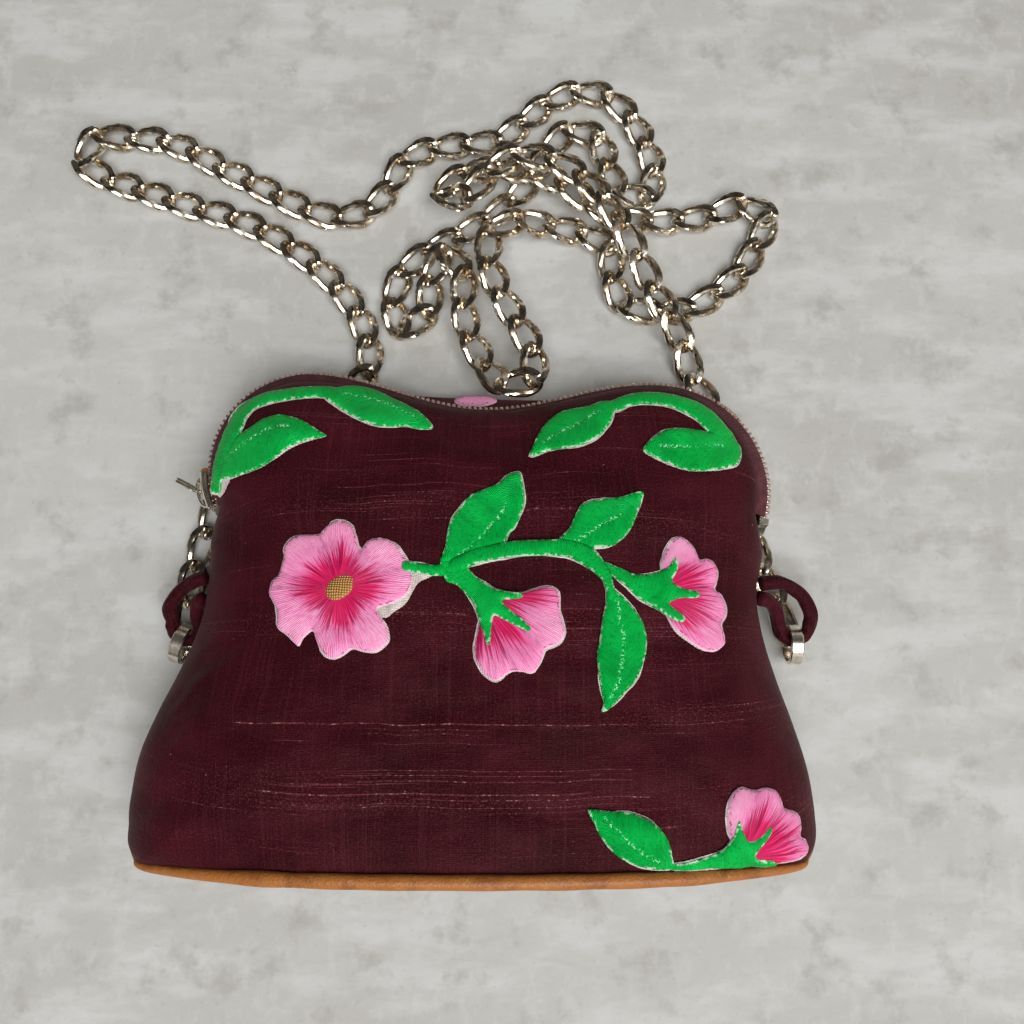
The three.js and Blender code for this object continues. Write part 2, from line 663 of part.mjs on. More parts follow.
// Side hardware: a fabric loop from the side seam, and a flat strip ring that
// hangs at its tip. x and y place the ring, lean is the plan direction in which the
// loop's tip points, and outer and inner are points chosen along the loop's limbs.
const HELD_REACH = WIRE_HALF - LINK_BITE / 2;
const FREE_REACH = WIRE_HALF + FREE_PLAY;
const RING_OUTER_RADIUS = RING_INNER_RADIUS + RING_THICKNESS;
const RING_Z = RING_OUTER_RADIUS + RING_FLOOR_GAP;
const SIDES = {
  left: {
    x: -95,
    y: -9,
    lean: vec(-0.32, -0.947, 0),
    out: -1,
    outer: [[-84.8, 10.6, 20], [-88.6, 9.6, 19], [-93, 7.4, 16.5], [-97.6, 2.8, 13.5]],
    inner: [[-88.8, -1.2, 13.2], [-88, 2.4, 17], [-85.5, 3.6, 19.8]],
  },
  right: {
    x: 101.4,
    y: -9.3,
    lean: vec(0, -1, 0),
    out: 1,
    outer: [[88.9, 8.4, 20], [92.8, 9, 19.4], [98, 8.4, 17.8], [103, 5, 15], [106, 0.4, 12.4]],
    inner: [[95.2, 0.2, 13], [92.4, 3.2, 16.6], [88.4, 4, 20]],
  },
};

function buildSideHardware(name) {
  const side = SIDES[name];
  const lean = side.lean.clone().normalize();
  const across = vec(-lean.y, lean.x, 0).multiplyScalar(side.out);
  const centre = vec(side.x, side.y, RING_Z);
  const tip = centre.clone().addScaledVector(lean, -0.9);
  tip.z += RING_INNER_RADIUS - LOOP_TUBE_RADIUS - 0.9;
  const bend = LOOP_TURN_RADIUS;
  const at = (alongLean, sideways, up) => tip.clone()
    .addScaledVector(lean, alongLean)
    .addScaledVector(across, sideways)
    .add(vec(0, 0, up));
  const points = [
    ...side.outer.map((p) => vec(...p)),
    at(-bend, bend, 1),
    at(-0.29 * bend, 0.71 * bend, 0),
    at(0, 0, 0),
    at(-0.29 * bend, -0.71 * bend, 0),
    at(-bend, -bend, 1),
    ...side.inner.map((p) => vec(...p)),
  ];
  addMesh(`side_loop_${name}`, tube(points, LOOP_TUBE_RADIUS, 6, 18), silk);
  const ringProfile = [
    new THREE.Vector2(RING_INNER_RADIUS, -RING_STRIP_WIDTH / 2),
    new THREE.Vector2(RING_OUTER_RADIUS, -RING_STRIP_WIDTH / 2),
    new THREE.Vector2(RING_OUTER_RADIUS, RING_STRIP_WIDTH / 2),
    new THREE.Vector2(RING_INNER_RADIUS, RING_STRIP_WIDTH / 2),
    new THREE.Vector2(RING_INNER_RADIUS, -RING_STRIP_WIDTH / 2),
  ];
  const ring = new THREE.LatheGeometry(ringProfile, 18);
  ring.deleteAttribute('normal');
  ring.deleteAttribute('uv');
  const mesh = addMesh(`side_ring_${name}`, outward(mergeVertices(ring, 1e-4)), steel);
  mesh.position.copy(centre);
  mesh.quaternion.setFromUnitVectors(vec(0, 1, 0), across);
}

// One link of the strap: a six-cornered ring of three-sided wire, its ridge turned
// inward, twisted so that the next link can pass through it. At each end, reach is
// how far the wire's middle goes past the joint, share the width of the end bar and
// twist its turn about the strap.
function linkGeometry(from, to, start, end) {
  const along = to.clone().sub(from);
  const span = along.length();
  along.normalize();
  const flat = vec(0, 0, 1).cross(along).normalize();
  const lift = along.clone().cross(flat);
  const middle = (span + end.reach - start.reach) / 2;
  const half = (span + end.reach + start.reach) / 2;
  const turned = (x, y, z) => {
    const a = deg(THREE.MathUtils.mapLinear(x, -half, half, start.twist, end.twist));
    return from.clone()
      .addScaledVector(along, middle + x)
      .addScaledVector(flat, y * Math.cos(a) - z * Math.sin(a))
      .addScaledVector(lift, y * Math.sin(a) + z * Math.cos(a));
  };
  const e = end.share;
  const f = start.share;
  const corners = [[1, e], [0, 1], [-1, f], [-1, -f], [0, -1], [1, -e]];
  const rows = corners.map(([ux, uy]) => {
    const x = ux * half;
    const y = uy * LINK_HALF_WIDTH;
    const outX = WIRE_HALF * Math.sign(ux);
    const outY = WIRE_HALF * Math.sign(uy) * (ux === 0 ? 1.06 : 0.71);
    const ridge = turned(x - outX, y - outY, 0);
    const low = turned(x + outX, y + outY, -WIRE_HALF);
    const high = turned(x + outX, y + outY, WIRE_HALF);
    return [ridge, low, high].map((v) => v.toArray());
  });
  return sweepRows(rows, true);
}

// The strap's first joint, inside a side ring and under the loop
function ringJoint(name) {
  const side = SIDES[name];
  const reach = 0.8 + FREE_REACH;
  const x = side.x - side.lean.x * reach;
  const y = side.y - side.lean.y * reach;
  return vec(x, y, RING_FLOOR_GAP + RING_THICKNESS + 1.6);
}

// Joints one pitch apart along the strap
function strapJoints() {
  const route = STRAP_ROUTE.map((p) => vec(...p));
  const points = [ringJoint('left'), ...route, ringJoint('right')];
  const curve = new THREE.CatmullRomCurve3(points);
  const fine = curve.getPoints(points.length * 24);
  const joints = [fine[0]];
  for (let i = 0; i < fine.length - 1; i += 1) {
    const last = joints[joints.length - 1];
    const a = fine[i].distanceTo(last);
    const b = fine[i + 1].distanceTo(last);
    if (a < CHAIN_PITCH && b >= CHAIN_PITCH) {
      joints.push(fine[i].clone().lerp(fine[i + 1], (CHAIN_PITCH - a) / (b - a)));
    }
  }
  const left = joints.length - 1;
  const gap = fine[fine.length - 1].distanceTo(joints[left]);
  if (gap > CHAIN_PITCH / 2) joints.push(fine[fine.length - 1]);
  else joints[left] = fine[fine.length - 1];
  return joints;
}

function buildStrap() {
  const joints = strapJoints();
  const links = joints.length - 1;
  const whole = STRETCH_SHARES.reduce((sum, share) => sum + share);
  const stretchOf = [];
  let shared = 0;
  STRETCH_SHARES.forEach((share, k) => {
    shared += share;
    const end = Math.round((shared / whole) * (links - 1));
    while (stretchOf.length < end) stretchOf.push(k);
  });
  stretchOf[0] = 'left';
  stretchOf.push('right');
  const groups = new Map();
  for (let i = 0; i < links; i += 1) {
    const key = stretchOf[i];
    const start = { share: LINK_SHARE, twist: -LINK_TWIST_DEG };
    const end = { share: LINK_SHARE, twist: LINK_TWIST_DEG };
    start.reach = i > 0 && stretchOf[i - 1] === key ? HELD_REACH : FREE_REACH;
    end.reach = i < links - 1 && stretchOf[i + 1] === key ? HELD_REACH : FREE_REACH;
    if (i === 0) Object.assign(start, { share: END_LINK_SHARE, twist: 0 });
    if (i === links - 1) Object.assign(end, { share: END_LINK_SHARE, twist: 0 });
    const link = linkGeometry(joints[i], joints[i + 1], start, end);
    if (!groups.has(key)) groups.set(key, []);
    groups.get(key).push(link);
  }
  groups.forEach((list, key) => {
    const name = typeof key === 'string' ? `strap_end_link_${key}` : `strap_chain_${key + 1}`;
    addMesh(name, joinAll(list), steel);
  });
}

// The outline's station in the direction of a point in plan, between two neighbours
function stationToward(x, y) {
  const reach = Math.hypot(x, y - CENTRE_Y) || 1;
  const ux = x / reach;
  const uy = (y - CENTRE_Y) / reach;
  const aside = (s) => ux * (s.y - CENTRE_Y) - uy * s.x;
  const ahead = (s) => ux * s.x + uy * (s.y - CENTRE_Y) > 0;
  const count = STATIONS.length;
  const i = STATIONS.findIndex((s, k) => {
    const next = STATIONS[(k + 1) % count];
    return ahead(s) && aside(s) * aside(next) <= 0;
  });
  const a = STATIONS[i];
  const b = STATIONS[(i + 1) % count];
  const t = aside(a) / (aside(a) - aside(b) || 1);
  const mixed = {};
  ['x', 'y', 'nx', 'ny', 'front', 'back', 'inset', 'lip'].forEach((key) => {
    mixed[key] = a[key] + (b[key] - a[key]) * t;
  });
  return mixed;
}

function shareOut(s, inset, x, y) {
  const [edgeX, edgeY] = planPoint(s, 1, inset);
  const edge = Math.hypot(edgeX, edgeY - CENTRE_Y);
  return Math.min(0.97, Math.hypot(x, y - CENTRE_Y) / edge);
}

// Heights of the panels' outer faces over a point in plan
function frontZ(x, y) {
  const s = stationToward(x, y);
  return s.front + (crownZ(y) - s.front) * domeShare(shareOut(s, s.inset, x, y));
}

function backZ(x, y) {
  const s = stationToward(x, y);
  return s.back * riseShare(shareOut(s, s.lip, x, y));
}

// A point a distance off a face of heights, along its normal, up (1) or down (-1)
function liftFrom(height, sign, x, y, lift) {
  const h = 0.5;
  const normal = vec(
    (height(x - h, y) - height(x + h, y)) / (2 * h),
    (height(x, y - h) - height(x, y + h)) / (2 * h),
    1,
  ).normalize();
  return vec(x, y, height(x, y)).addScaledVector(normal, sign * lift).toArray();
}

const frontLift = (x, y, lift) => liftFrom(frontZ, 1, x, y, lift);
const backLift = (x, y, lift) => liftFrom(backZ, -1, x, y, lift);

// A thin embroidered piece from an outline round a centre, following the panel
function patch(centre, outline, level, surface = frontLift) {
  const low = PATCH_LIFT + level * 0.06;
  const high = low + PATCH_THICKNESS;
  const count = outline.length;
  const points = [];
  const faces = [];
  [high, low].forEach((lift, skin) => {
    const start = points.length;
    points.push(surface(centre[0], centre[1], lift));
    [0.55, 1].forEach((share) => outline.forEach(([x, y]) => {
      const px = centre[0] + (x - centre[0]) * share;
      const py = centre[1] + (y - centre[1]) * share;
      points.push(surface(px, py, lift));
    }));
    const put = (a, b, c) => faces.push(skin === 0 ? [a, b, c] : [a, c, b]);
    for (let i = 0; i < count; i += 1) {
      const j = (i + 1) % count;
      put(start, start + 1 + i, start + 1 + j);
      put(start + 1 + i, start + 1 + count + i, start + 1 + count + j);
      put(start + 1 + i, start + 1 + count + j, start + 1 + j);
    }
  });
  const top = 1 + count;
  const bottom = 1 + 2 * count + 1 + count;
  for (let i = 0; i < count; i += 1) {
    const j = (i + 1) % count;
    faces.push([top + i, bottom + j, top + j], [top + i, bottom + i, bottom + j]);
  }
  return outward(geometryFrom(points, faces));
}

// A pointed leaf from its foot to its tip, its two sides bowed by their widths
function leaf(foot, tip, leftWidth, rightWidth, level) {
  const dx = tip[0] - foot[0];
  const dy = tip[1] - foot[1];
  const length = Math.hypot(dx, dy);
  const at = (t, side) => [
    foot[0] + dx * t - (dy / length) * side,
    foot[1] + dy * t + (dx / length) * side,
  ];
  const outline = [
    at(0, 0),
    at(0.25, -0.8 * rightWidth), at(0.55, -rightWidth), at(0.82, -0.5 * rightWidth),
    at(1, 0),
    at(0.82, 0.5 * leftWidth), at(0.55, leftWidth), at(0.25, 0.8 * leftWidth),
  ];
  return patch(at(0.5, (leftWidth - rightWidth) / 2), outline, level);
}

// A stem along points, as a thin band that follows the panel
function stem(points, width, level) {
  const low = PATCH_LIFT + level * 0.06;
  const high = low + PATCH_THICKNESS;
  const rows = points.map((p, i) => {
    const a = points[Math.max(0, i - 1)];
    const b = points[Math.min(points.length - 1, i + 1)];
    const length = Math.hypot(b[0] - a[0], b[1] - a[1]);
    const nx = (-(b[1] - a[1]) / length) * (width / 2);
    const ny = ((b[0] - a[0]) / length) * (width / 2);
    return [
      frontLift(p[0] + nx, p[1] + ny, high),
      frontLift(p[0] - nx, p[1] - ny, high),
      frontLift(p[0] - nx, p[1] - ny, low),
      frontLift(p[0] + nx, p[1] + ny, low),
    ];
  });
  return sweepRows(rows, false);
}

// Round flower outline: petals round a centre
function petals(cx, cy, radiusX, radiusY, count, depth, turn) {
  const outline = [];
  const steps = count * 3;
  for (let i = 0; i < steps; i += 1) {
    const a = (2 * Math.PI * i) / steps + turn;
    const r = 1 - depth * (i % 3 === 0 ? 1 : 0);
    outline.push([cx + radiusX * r * Math.cos(a), cy + radiusY * r * Math.sin(a)]);
  }
  return outline;
}

function buildEmbroidery() {
  addMesh('spray_top_left', joinAll([
    stem([[-80, 38.5], [-79, 46.5], [-75, 56], [-67.5, 63.5], [-58, 66.5], [-47, 67.5]], 3, 0),
    leaf([-79, 42], [-46.5, 51], 6.5, 6, 1),
    leaf([-50, 67], [-13, 54], 4.5, 6.5, 2),
  ]), thread);
  addMesh('spray_top_right', joinAll([
    stem([[41, 63], [51, 63.5], [61.5, 63], [70.5, 59], [76.5, 53.5], [80, 47]], 3, 0),
    leaf([80.5, 49], [50.5, 46], 5.5, 6.5, 1),
    leaf([45, 63], [16.5, 44.5], 5, 6, 2),
  ]), thread);
  const flower = petals(-38.5, 4, 22, 20, 6, 0.16, 0.5);
  addMesh('spray_centre', joinAll([
    stem([[-24, 10], [-12.5, 11], [-5.5, 10.5], [0.5, 4.5], [4, -2]], 3.4, 0),
    stem([[-8, 11.5], [1.5, 14.5], [13.5, 15.5], [25, 15.5], [32, 12.5], [38, 6.5]], 3.2, 1),
    stem([[33.5, 11.5], [42, 7.5], [55, 4.5]], 3.4, 2),
    patch([-38.5, 4], flower, 3),
    leaf([-6, 12.5], [13.5, 38.5], 6.5, 7, 4),
    leaf([26.5, 15.5], [50, 33], 5.5, 7, 5),
    leaf([38, 8], [36.5, -31.5], 10.5, 3, 6),
    patch([14, -7], [
      [4, 1], [12, 4], [20.5, 4], [25, 1], [25, -8.5], [20.5, -14], [17, -20.5], [12, -19.5],
      [6, -22.5], [1.5, -18.5], [1, -10],
    ], 7),
    patch([61, 3], [
      [52, 4], [54, 12], [57, 17], [61.5, 19], [65.5, 14.5], [71, 12], [71.5, 4], [74, -2],
      [72, -12], [66, -14.5], [58, -8],
    ], 8),
  ]), thread);
  addMesh('spray_bottom_right', joinAll([
    leaf([55, -70.5], [31.5, -57.5], 5.5, 6.5, 0),
    stem([[52, -70.5], [62, -70.5], [69, -68.5], [76, -65]], 3, 1),
    patch([80, -63], [
      [71, -66], [70, -57.5], [73.5, -52.5], [80, -52], [86, -56], [91, -60.5], [93.5, -66],
      [90, -70.5], [80, -71],
    ], 2),
  ]), thread);
  const backFlower = petals(-1, 64.5, 9, 8, 6, 0.14, 0.5);
  addMesh('flower_back', patch([-1, 64.5], backFlower, 0, backLift), thread);
}

buildShells();
buildBase();
buildPiping();
buildZip();
buildSlider();
buildPull();
buildStops();
buildTab();
buildSideHardware('left');
buildSideHardware('right');
buildStrap();
buildEmbroidery();

export default bag;
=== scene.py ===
"""Looks of a domed crossbody pouch with a curb chain strap, lying on its back panel.

Lengths in the tables are millimetres and become metres in make_mesh. X runs to the right, Y to the zipped
top and Z up from the back panel.
"""
import math

import bpy
import numpy as np
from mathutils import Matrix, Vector
from mathutils.geometry import delaunay_2d_cdt


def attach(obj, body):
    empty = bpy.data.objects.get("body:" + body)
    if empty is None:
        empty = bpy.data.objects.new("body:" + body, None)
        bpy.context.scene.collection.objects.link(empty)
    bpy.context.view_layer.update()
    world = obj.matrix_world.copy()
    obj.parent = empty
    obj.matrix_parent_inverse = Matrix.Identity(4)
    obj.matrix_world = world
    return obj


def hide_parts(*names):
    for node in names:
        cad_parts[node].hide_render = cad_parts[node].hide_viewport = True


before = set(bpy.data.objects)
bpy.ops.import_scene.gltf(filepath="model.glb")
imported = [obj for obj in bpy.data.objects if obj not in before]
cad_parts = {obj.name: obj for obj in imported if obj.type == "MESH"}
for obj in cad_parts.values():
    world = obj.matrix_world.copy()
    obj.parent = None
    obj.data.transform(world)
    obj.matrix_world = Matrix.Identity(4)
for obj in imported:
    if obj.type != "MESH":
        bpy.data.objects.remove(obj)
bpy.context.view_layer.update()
MM = 0.001
UP = np.array([0.0, 0.0, 1.0])

# Camera
camera_data = bpy.data.cameras.new("camera")
camera_data.lens = 36.1
camera_data.sensor_width = 36.0
camera = bpy.data.objects.new("camera", camera_data)
camera.location = (0.011, -0.0363, 0.339)
camera.rotation_euler = (math.radians(12.0), 0.0, 0.0)
bpy.context.scene.collection.objects.link(camera)
bpy.context.scene.camera = camera
bpy.context.scene.view_settings.view_transform = "Standard"

# Bag surface
CENTRE_Y = -5.0
REST_SHARE = 0.62
WALL = 1.8
LEFT_CORNER, LEFT_RADIUS = (-54.5, 46.3), 31.0
RIGHT_CORNER, RIGHT_RADIUS = (57.5, 38.5), 35.0
TOP_RUN, TOP_Y, TOP_FALL, TOP_DIP = 112.0, 77.3, 3.8, 10.2
BASE_LEFT, BASE_RIGHT, BASE_Y, BASE_RADIUS = -92.5, 91.0, -63.6, 10.0
SEAM_LOW, SEAM_RISE = 20, 30


def parse(text):
    """A table from text: rows parted by spaces, the numbers of a row by commas."""
    return np.array([[float(v) for v in row.split(",")] for row in text.split()])


def ease(t):
    """Cosine ease: (1 - cos(pi t)) / 2."""
    return (1 - np.cos(np.pi * t)) / 2


def base_front(x):
    """Height of the base's front seam: 20 + 30 (1 - s^2.5)^0.6, s the share of the way out to the base
    corner."""
    s = min(1.0, abs(x) / (102.5 if x < 0 else 101.0))
    return SEAM_LOW + SEAM_RISE * (1 - s ** 2.5) ** 0.6


def outline_points():
    """Stations round the bag, clockwise from the zip's left end: an arc of radius 31 round (-54.5, 46.3), a
    wave that dips 10.2 by a cosine, an arc of radius 35 round (57.5, 38.5), an eased flare down each side,
    and a base bowed by a sine of 1 between corners of radius 10. Columns: x, y, front edge z, back edge z,
    inset of the front's edge (2.6, and 2 more on the humps) and of the back's (2.6, less 9 in the dip)."""
    rows = []

    def zip_row(x, y, bare, dip):
        rows.append([x, y, 26, 12, 2.6 + 2 * float(bare), 2.6 - 9 * float(dip)])

    for i in range(10):
        a = math.radians(205 - 115 * i / 9)
        zip_row(LEFT_CORNER[0] + LEFT_RADIUS * math.cos(a), LEFT_CORNER[1] + LEFT_RADIUS * math.sin(a),
                ease(min(1, i / 5)), 0)
    for i in range(1, 11):
        t = i / 11
        dip = float(ease(2 * min(t, 1 - t)))
        zip_row(LEFT_CORNER[0] + TOP_RUN * t, TOP_Y - TOP_FALL * t - TOP_DIP * dip, 1 - ease(min(1, 3 * t)),
                dip)
    for i in range(8):
        a = math.radians(90 - 105 * i / 7)
        zip_row(RIGHT_CORNER[0] + RIGHT_RADIUS * math.cos(a), RIGHT_CORNER[1] + RIGHT_RADIUS * math.sin(a),
                ease(min(1, i / 3)), 0)
    side = [20.15, 19.85, 0, 0]
    rows.append([89.5, 17] + side)
    for i in range(6):
        t = i / 5
        rows.append([87 + 14 * float(ease(t)), 5 - 67 * t] + side)

    def base(x, y):
        f = base_front(x)
        return [x, y, max(f, 20.15), min(20 - 16 * (f - SEAM_LOW) / SEAM_RISE, 19.85), 0, 0]

    for i in range(1, 4):
        a = math.radians(-30 * i)
        rows.append(base(BASE_RIGHT + BASE_RADIUS * math.cos(a), BASE_Y + BASE_RADIUS * math.sin(a)))
    for i in range(1, 9):
        t = i / 8
        rows.append(base(BASE_RIGHT - (BASE_RIGHT - BASE_LEFT) * t,
                         BASE_Y - BASE_RADIUS - math.sin(math.pi * t)))
    for i in range(1, 4):
        a = math.radians(-90 - 30 * i)
        rows.append(base(BASE_LEFT + BASE_RADIUS * math.cos(a), BASE_Y + BASE_RADIUS * math.sin(a)))
    for i in range(5, -1, -1):
        t = i / 5
        rows.append([-83.5 - 19 * float(ease(t)), 8 - 64 * t] + side)
    rows.append([-83.5, 22] + side)
    return np.array(rows, float)


def through(points, steps, closed):
    """A cardinal spline of tension 1/2 through the points, each span cut into so many steps."""
    p = np.asarray(points, float)
    n = len(p)
    spans = n if closed else n - 1
    i = np.repeat(np.arange(spans), steps)
    t = np.tile(np.arange(steps) / steps, spans)[:, None]
    if closed:
        a, b, c, d = p[(i - 1) % n], p[i], p[(i + 1) % n], p[(i + 2) % n]
    else:
        a, b, c, d = p[np.maximum(i - 1, 0)], p[i], p[i + 1], p[np.minimum(i + 2, n - 1)]
    out = 0.5 * (2 * b + (c - a) * t + (2 * a - 5 * b + 4 * c - d) * t ** 2
                 + (3 * b - a - 3 * c + d) * t ** 3)
    return out if closed else np.vstack([out, p[-1:]])


def fine_outline(steps):
    """The stations splined, with heights, insets and lips held between their neighbours' values. The outward
    normal, the step turned by 90 degrees, is added as columns 6 and 7."""
    rows = outline_points()
    fine = through(rows, steps, True)
    n = len(rows)
    i = np.repeat(np.arange(n), steps)
    low = np.minimum(rows[i], rows[(i + 1) % n])[:, 2:]
    high = np.maximum(rows[i], rows[(i + 1) % n])[:, 2:]
    fine[:, 2:] = np.clip(fine[:, 2:], low, high)
    step = np.roll(fine[:, :2], -1, 0) - np.roll(fine[:, :2], 1, 0)
    step /= np.linalg.norm(step, axis=1)[:, None]
    return np.column_stack([fine, -step[:, 1], step[:, 0]])


ZIP_STATIONS, SIDE_STATIONS, BASE_STATIONS = 28, 7, 14
RIM_STEPS = 7
RIM = fine_outline(RIM_STEPS)
ZIP_COUNT = (ZIP_STATIONS - 1) * RIM_STEPS + 1
BASE_FIRST = (ZIP_STATIONS + SIDE_STATIONS - 1) * RIM_STEPS
BASE_LAST = (ZIP_STATIONS + SIDE_STATIONS + BASE_STATIONS) * RIM_STEPS


def crown(y):
    """Height of the front's middle: 46 - 0.07 y."""
    return 46 - 0.07 * y


def dome(rho):
    """Share of the rise from edge to crown: (1 - rho^4)^0.55."""
    return np.power(np.clip(1 - rho ** 4, 0, 1), 0.55)


def rise(rho):
    """Share of the back's rise to its edge: ((rho - 0.62) / 0.38)^2.2, nought inside 0.62."""
    return np.power(np.clip((rho - REST_SHARE) / (1 - REST_SHARE), 0, None), 2.2)


def waves(x, y, scale, seed):
    """Smooth noise from -1 to 1: the mean of seven sines of random direction, wavelength near scale and
    phase."""
    local = np.random.default_rng(seed)
    total = np.zeros(np.broadcast(x, y).shape)
    for _ in range(7):
        a = local.uniform(0, 2 * math.pi)
        k = 2 * math.pi / (scale * local.uniform(0.7, 1.5))
        total += np.sin(k * (x * math.cos(a) + y * math.sin(a)) + local.uniform(0, 6.28))
    return total / 3.2


# Folds of the front cloth: middle x, y, direction in degrees, half length, half width, height
FOLDS = parse(
    "-82,-23,24,11,1.7,0.85 -86,-29,38,9,1.5,0.75 -89,-36,20,8,1.5,0.7 -84,-40,32,8,1.3,0.5 "
    "-91,-48,12,8,1.5,0.5 -80,-12,30,8,1.6,0.6 -78,1,12,9,1.5,0.45 -60,20,-18,14,2.0,0.35 "
    "82,-14,-28,9,1.7,0.6 87,-24,-40,9,1.5,0.5 89,-40,-20,8,1.6,0.45 60,27,14,12,1.8,0.3 "
    "-66,-60,6,16,2.0,0.3 30,-62,-3,22,2.2,0.3 -14,-38,8,26,3.0,0.3")


def soft_front(x, y, rho):
    """Unevenness of the wadded front cloth along z: swells of 0.75, 0.28 and 0.1 that fade to the
    rim, folds as long bells, a shallow dent behind the top dip, a sag across the waist and puckers beside the
    seams."""
    fade = 1 - rho ** 8
    swell = 0.75 * waves(x, y, 52, 3) + 0.28 * waves(x, 2.2 * y, 24, 11) + 0.1 * waves(x, y, 8, 5)
    dent = -1.3 * np.exp(-((x - 1) / 15) ** 2 - ((y - 52) / 8) ** 2)
    ring = -0.35 * np.exp(-((np.hypot((x - 2) / 1.5, y - 57) - 9.5) / 1.3) ** 2) * (y < 58)
    waist = -0.9 * np.exp(-((y + 2 - 0.1 * x) / 13) ** 2) * (np.abs(x) / 90) ** 2
    near = np.exp(-((1 - rho) / 0.07) ** 2) * (1 - np.exp(-((1 - rho) / 0.02) ** 2))
    angle = np.arctan2(y - CENTRE_Y, x)
    pucker = 0.42 * near * np.sin(62 * angle + 3 * np.sin(9 * angle)) * (0.6 + 0.4 * np.sin(5 * angle))
    folds = 0
    for fx, fy, turn, length, width, high in FOLDS:
        c, d = math.cos(math.radians(turn)), math.sin(math.radians(turn))
        along, off = (x - fx) * c + (y - fy) * d, (y - fy) * c - (x - fx) * d
        off = off + 0.8 * np.sin(along / 3.5 + fx)
        folds = folds + high * np.exp(-(along / length) ** 2) * (np.exp(-(off / width) ** 2) - 0.5 * np.exp(
            -((off - 2 * width) / width) ** 2))
    return fade * (swell + dent + ring + waist + folds) + pucker


def rim_toward(x, y, column):
    """Distance from the centre to the panel's edge in each point's direction, and the edge's two heights. The
    edge stands inside the outline by the inset or lip column."""
    edge_x = RIM[:, 0] - RIM[:, 6] * RIM[:, column]
    edge_y = RIM[:, 1] - RIM[:, 7] * RIM[:, column] - CENTRE_Y
    angles = np.arctan2(edge_y, edge_x)
    order = np.argsort(angles)
    asked = np.arctan2(np.asarray(y, float) - CENTRE_Y, np.asarray(x, float))
    values = (np.hypot(edge_x, edge_y), RIM[:, 2], RIM[:, 3])
    return [np.interp(asked, angles[order], v[order], period=2 * np.pi) for v in values]


def front_z(x, y):
    """Height of the front cloth: edge + (crown - edge) dome(rho) + unevenness."""
    x = np.asarray(x, float)
    y = np.asarray(y, float)
    reach, edge, _ = rim_toward(x, y, 4)
    rho = np.clip(np.hypot(x, y - CENTRE_Y) / reach, 0, 0.985)
    return edge + (crown(y) - edge) * dome(rho) + soft_front(x, y, rho)


def back_z(x, y):
    """Height of the back cloth: edge times rise(rho)."""
    reach, _, edge = rim_toward(x, y, 5)
    rho = np.clip(np.hypot(x, np.asarray(y) - CENTRE_Y) / reach, 0, 0.985)
    return edge * rise(rho)


def lifted(height, side, plan, lift):
    """Points a distance off a face of heights: P + side lift n, n the upward unit normal by central
    differences."""
    h = 0.6
    x, y = plan[:, 0], plan[:, 1]
    gx = (height(x + h, y) - height(x - h, y)) / (2 * h)
    gy = (height(x, y + h) - height(x, y - h)) / (2 * h)
    n = np.column_stack([-gx, -gy, np.ones_like(gx)])
    n /= np.linalg.norm(n, axis=1)[:, None]
    return np.column_stack([x, y, height(x, y)]) + side * np.asarray(lift)[:, None] * n


# Mesh helpers
def make_mesh(name, points, faces, layers=None, *, slot, material, replaces=(), body="bag", sharp=None):
    """An object from points in millimetres and quads or triangles. layers are float attributes by point."""
    points = np.asarray(points, float).reshape(-1, 3) * MM
    mesh = bpy.data.meshes.new(name)
    flat = np.concatenate([f.ravel() for f in faces]).astype(np.int32)
    sizes = np.concatenate([np.full(len(f), f.shape[1]) for f in faces]).astype(np.int32)
    starts = np.concatenate([[0], np.cumsum(sizes)[:-1]]).astype(np.int32)
    mesh.vertices.add(len(points))
    mesh.vertices.foreach_set("co", points.astype(np.float32).ravel())
    mesh.loops.add(len(flat))
    mesh.loops.foreach_set("vertex_index", flat)
    mesh.polygons.add(len(sizes))
    mesh.polygons.foreach_set("loop_start", starts)
    mesh.update(calc_edges=True)
    mesh.validate()
    for key, values in (layers or {}).items():
        values = np.asarray(values, np.float32)
        if values.ndim == 2:
            layer = mesh.uv_layers.new(name=key)
            layer.data.foreach_set("uv", values[flat].ravel())
        else:
            attribute = mesh.attributes.new(key, "FLOAT", "POINT")
            attribute.data.foreach_set("value", values)
    mesh.shade_smooth()
    if sharp:
        mesh.set_sharp_from_angle(angle=math.radians(sharp))
    obj = bpy.data.objects.new(name, mesh)
    bpy.context.scene.collection.objects.link(obj)
    mesh.materials.append(material)
    if replaces:
        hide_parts(*replaces)
    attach(obj, body)
    return obj


def grid(rows, cols, wrap_rows=False, wrap_cols=False):
    """Quads of a grid of points stored row by row."""
    r = np.arange(rows if wrap_rows else rows - 1)
    c = np.arange(cols if wrap_cols else cols - 1)
    r, c = np.meshgrid(r, c, indexing="ij")
    r2, c2 = (r + 1) % rows, (c + 1) % cols
    return np.stack([r * cols + c, r2 * cols + c, r2 * cols + c2, r * cols + c2], -1).reshape(-1, 4)


def facing_out(points, faces):
    """The faces, turned round if the closed mesh's volume, the sum of a.(b x c)/6, comes out negative."""
    volume = 0.0
    for f in faces:
        for k in range(1, f.shape[1] - 1):
            a, b, c = points[f[:, 0]], points[f[:, k]], points[f[:, k + 1]]
            volume += np.einsum("ij,ij->", a, np.cross(b, c))
    return faces if volume > 0 else [f[:, ::-1] for f in faces]


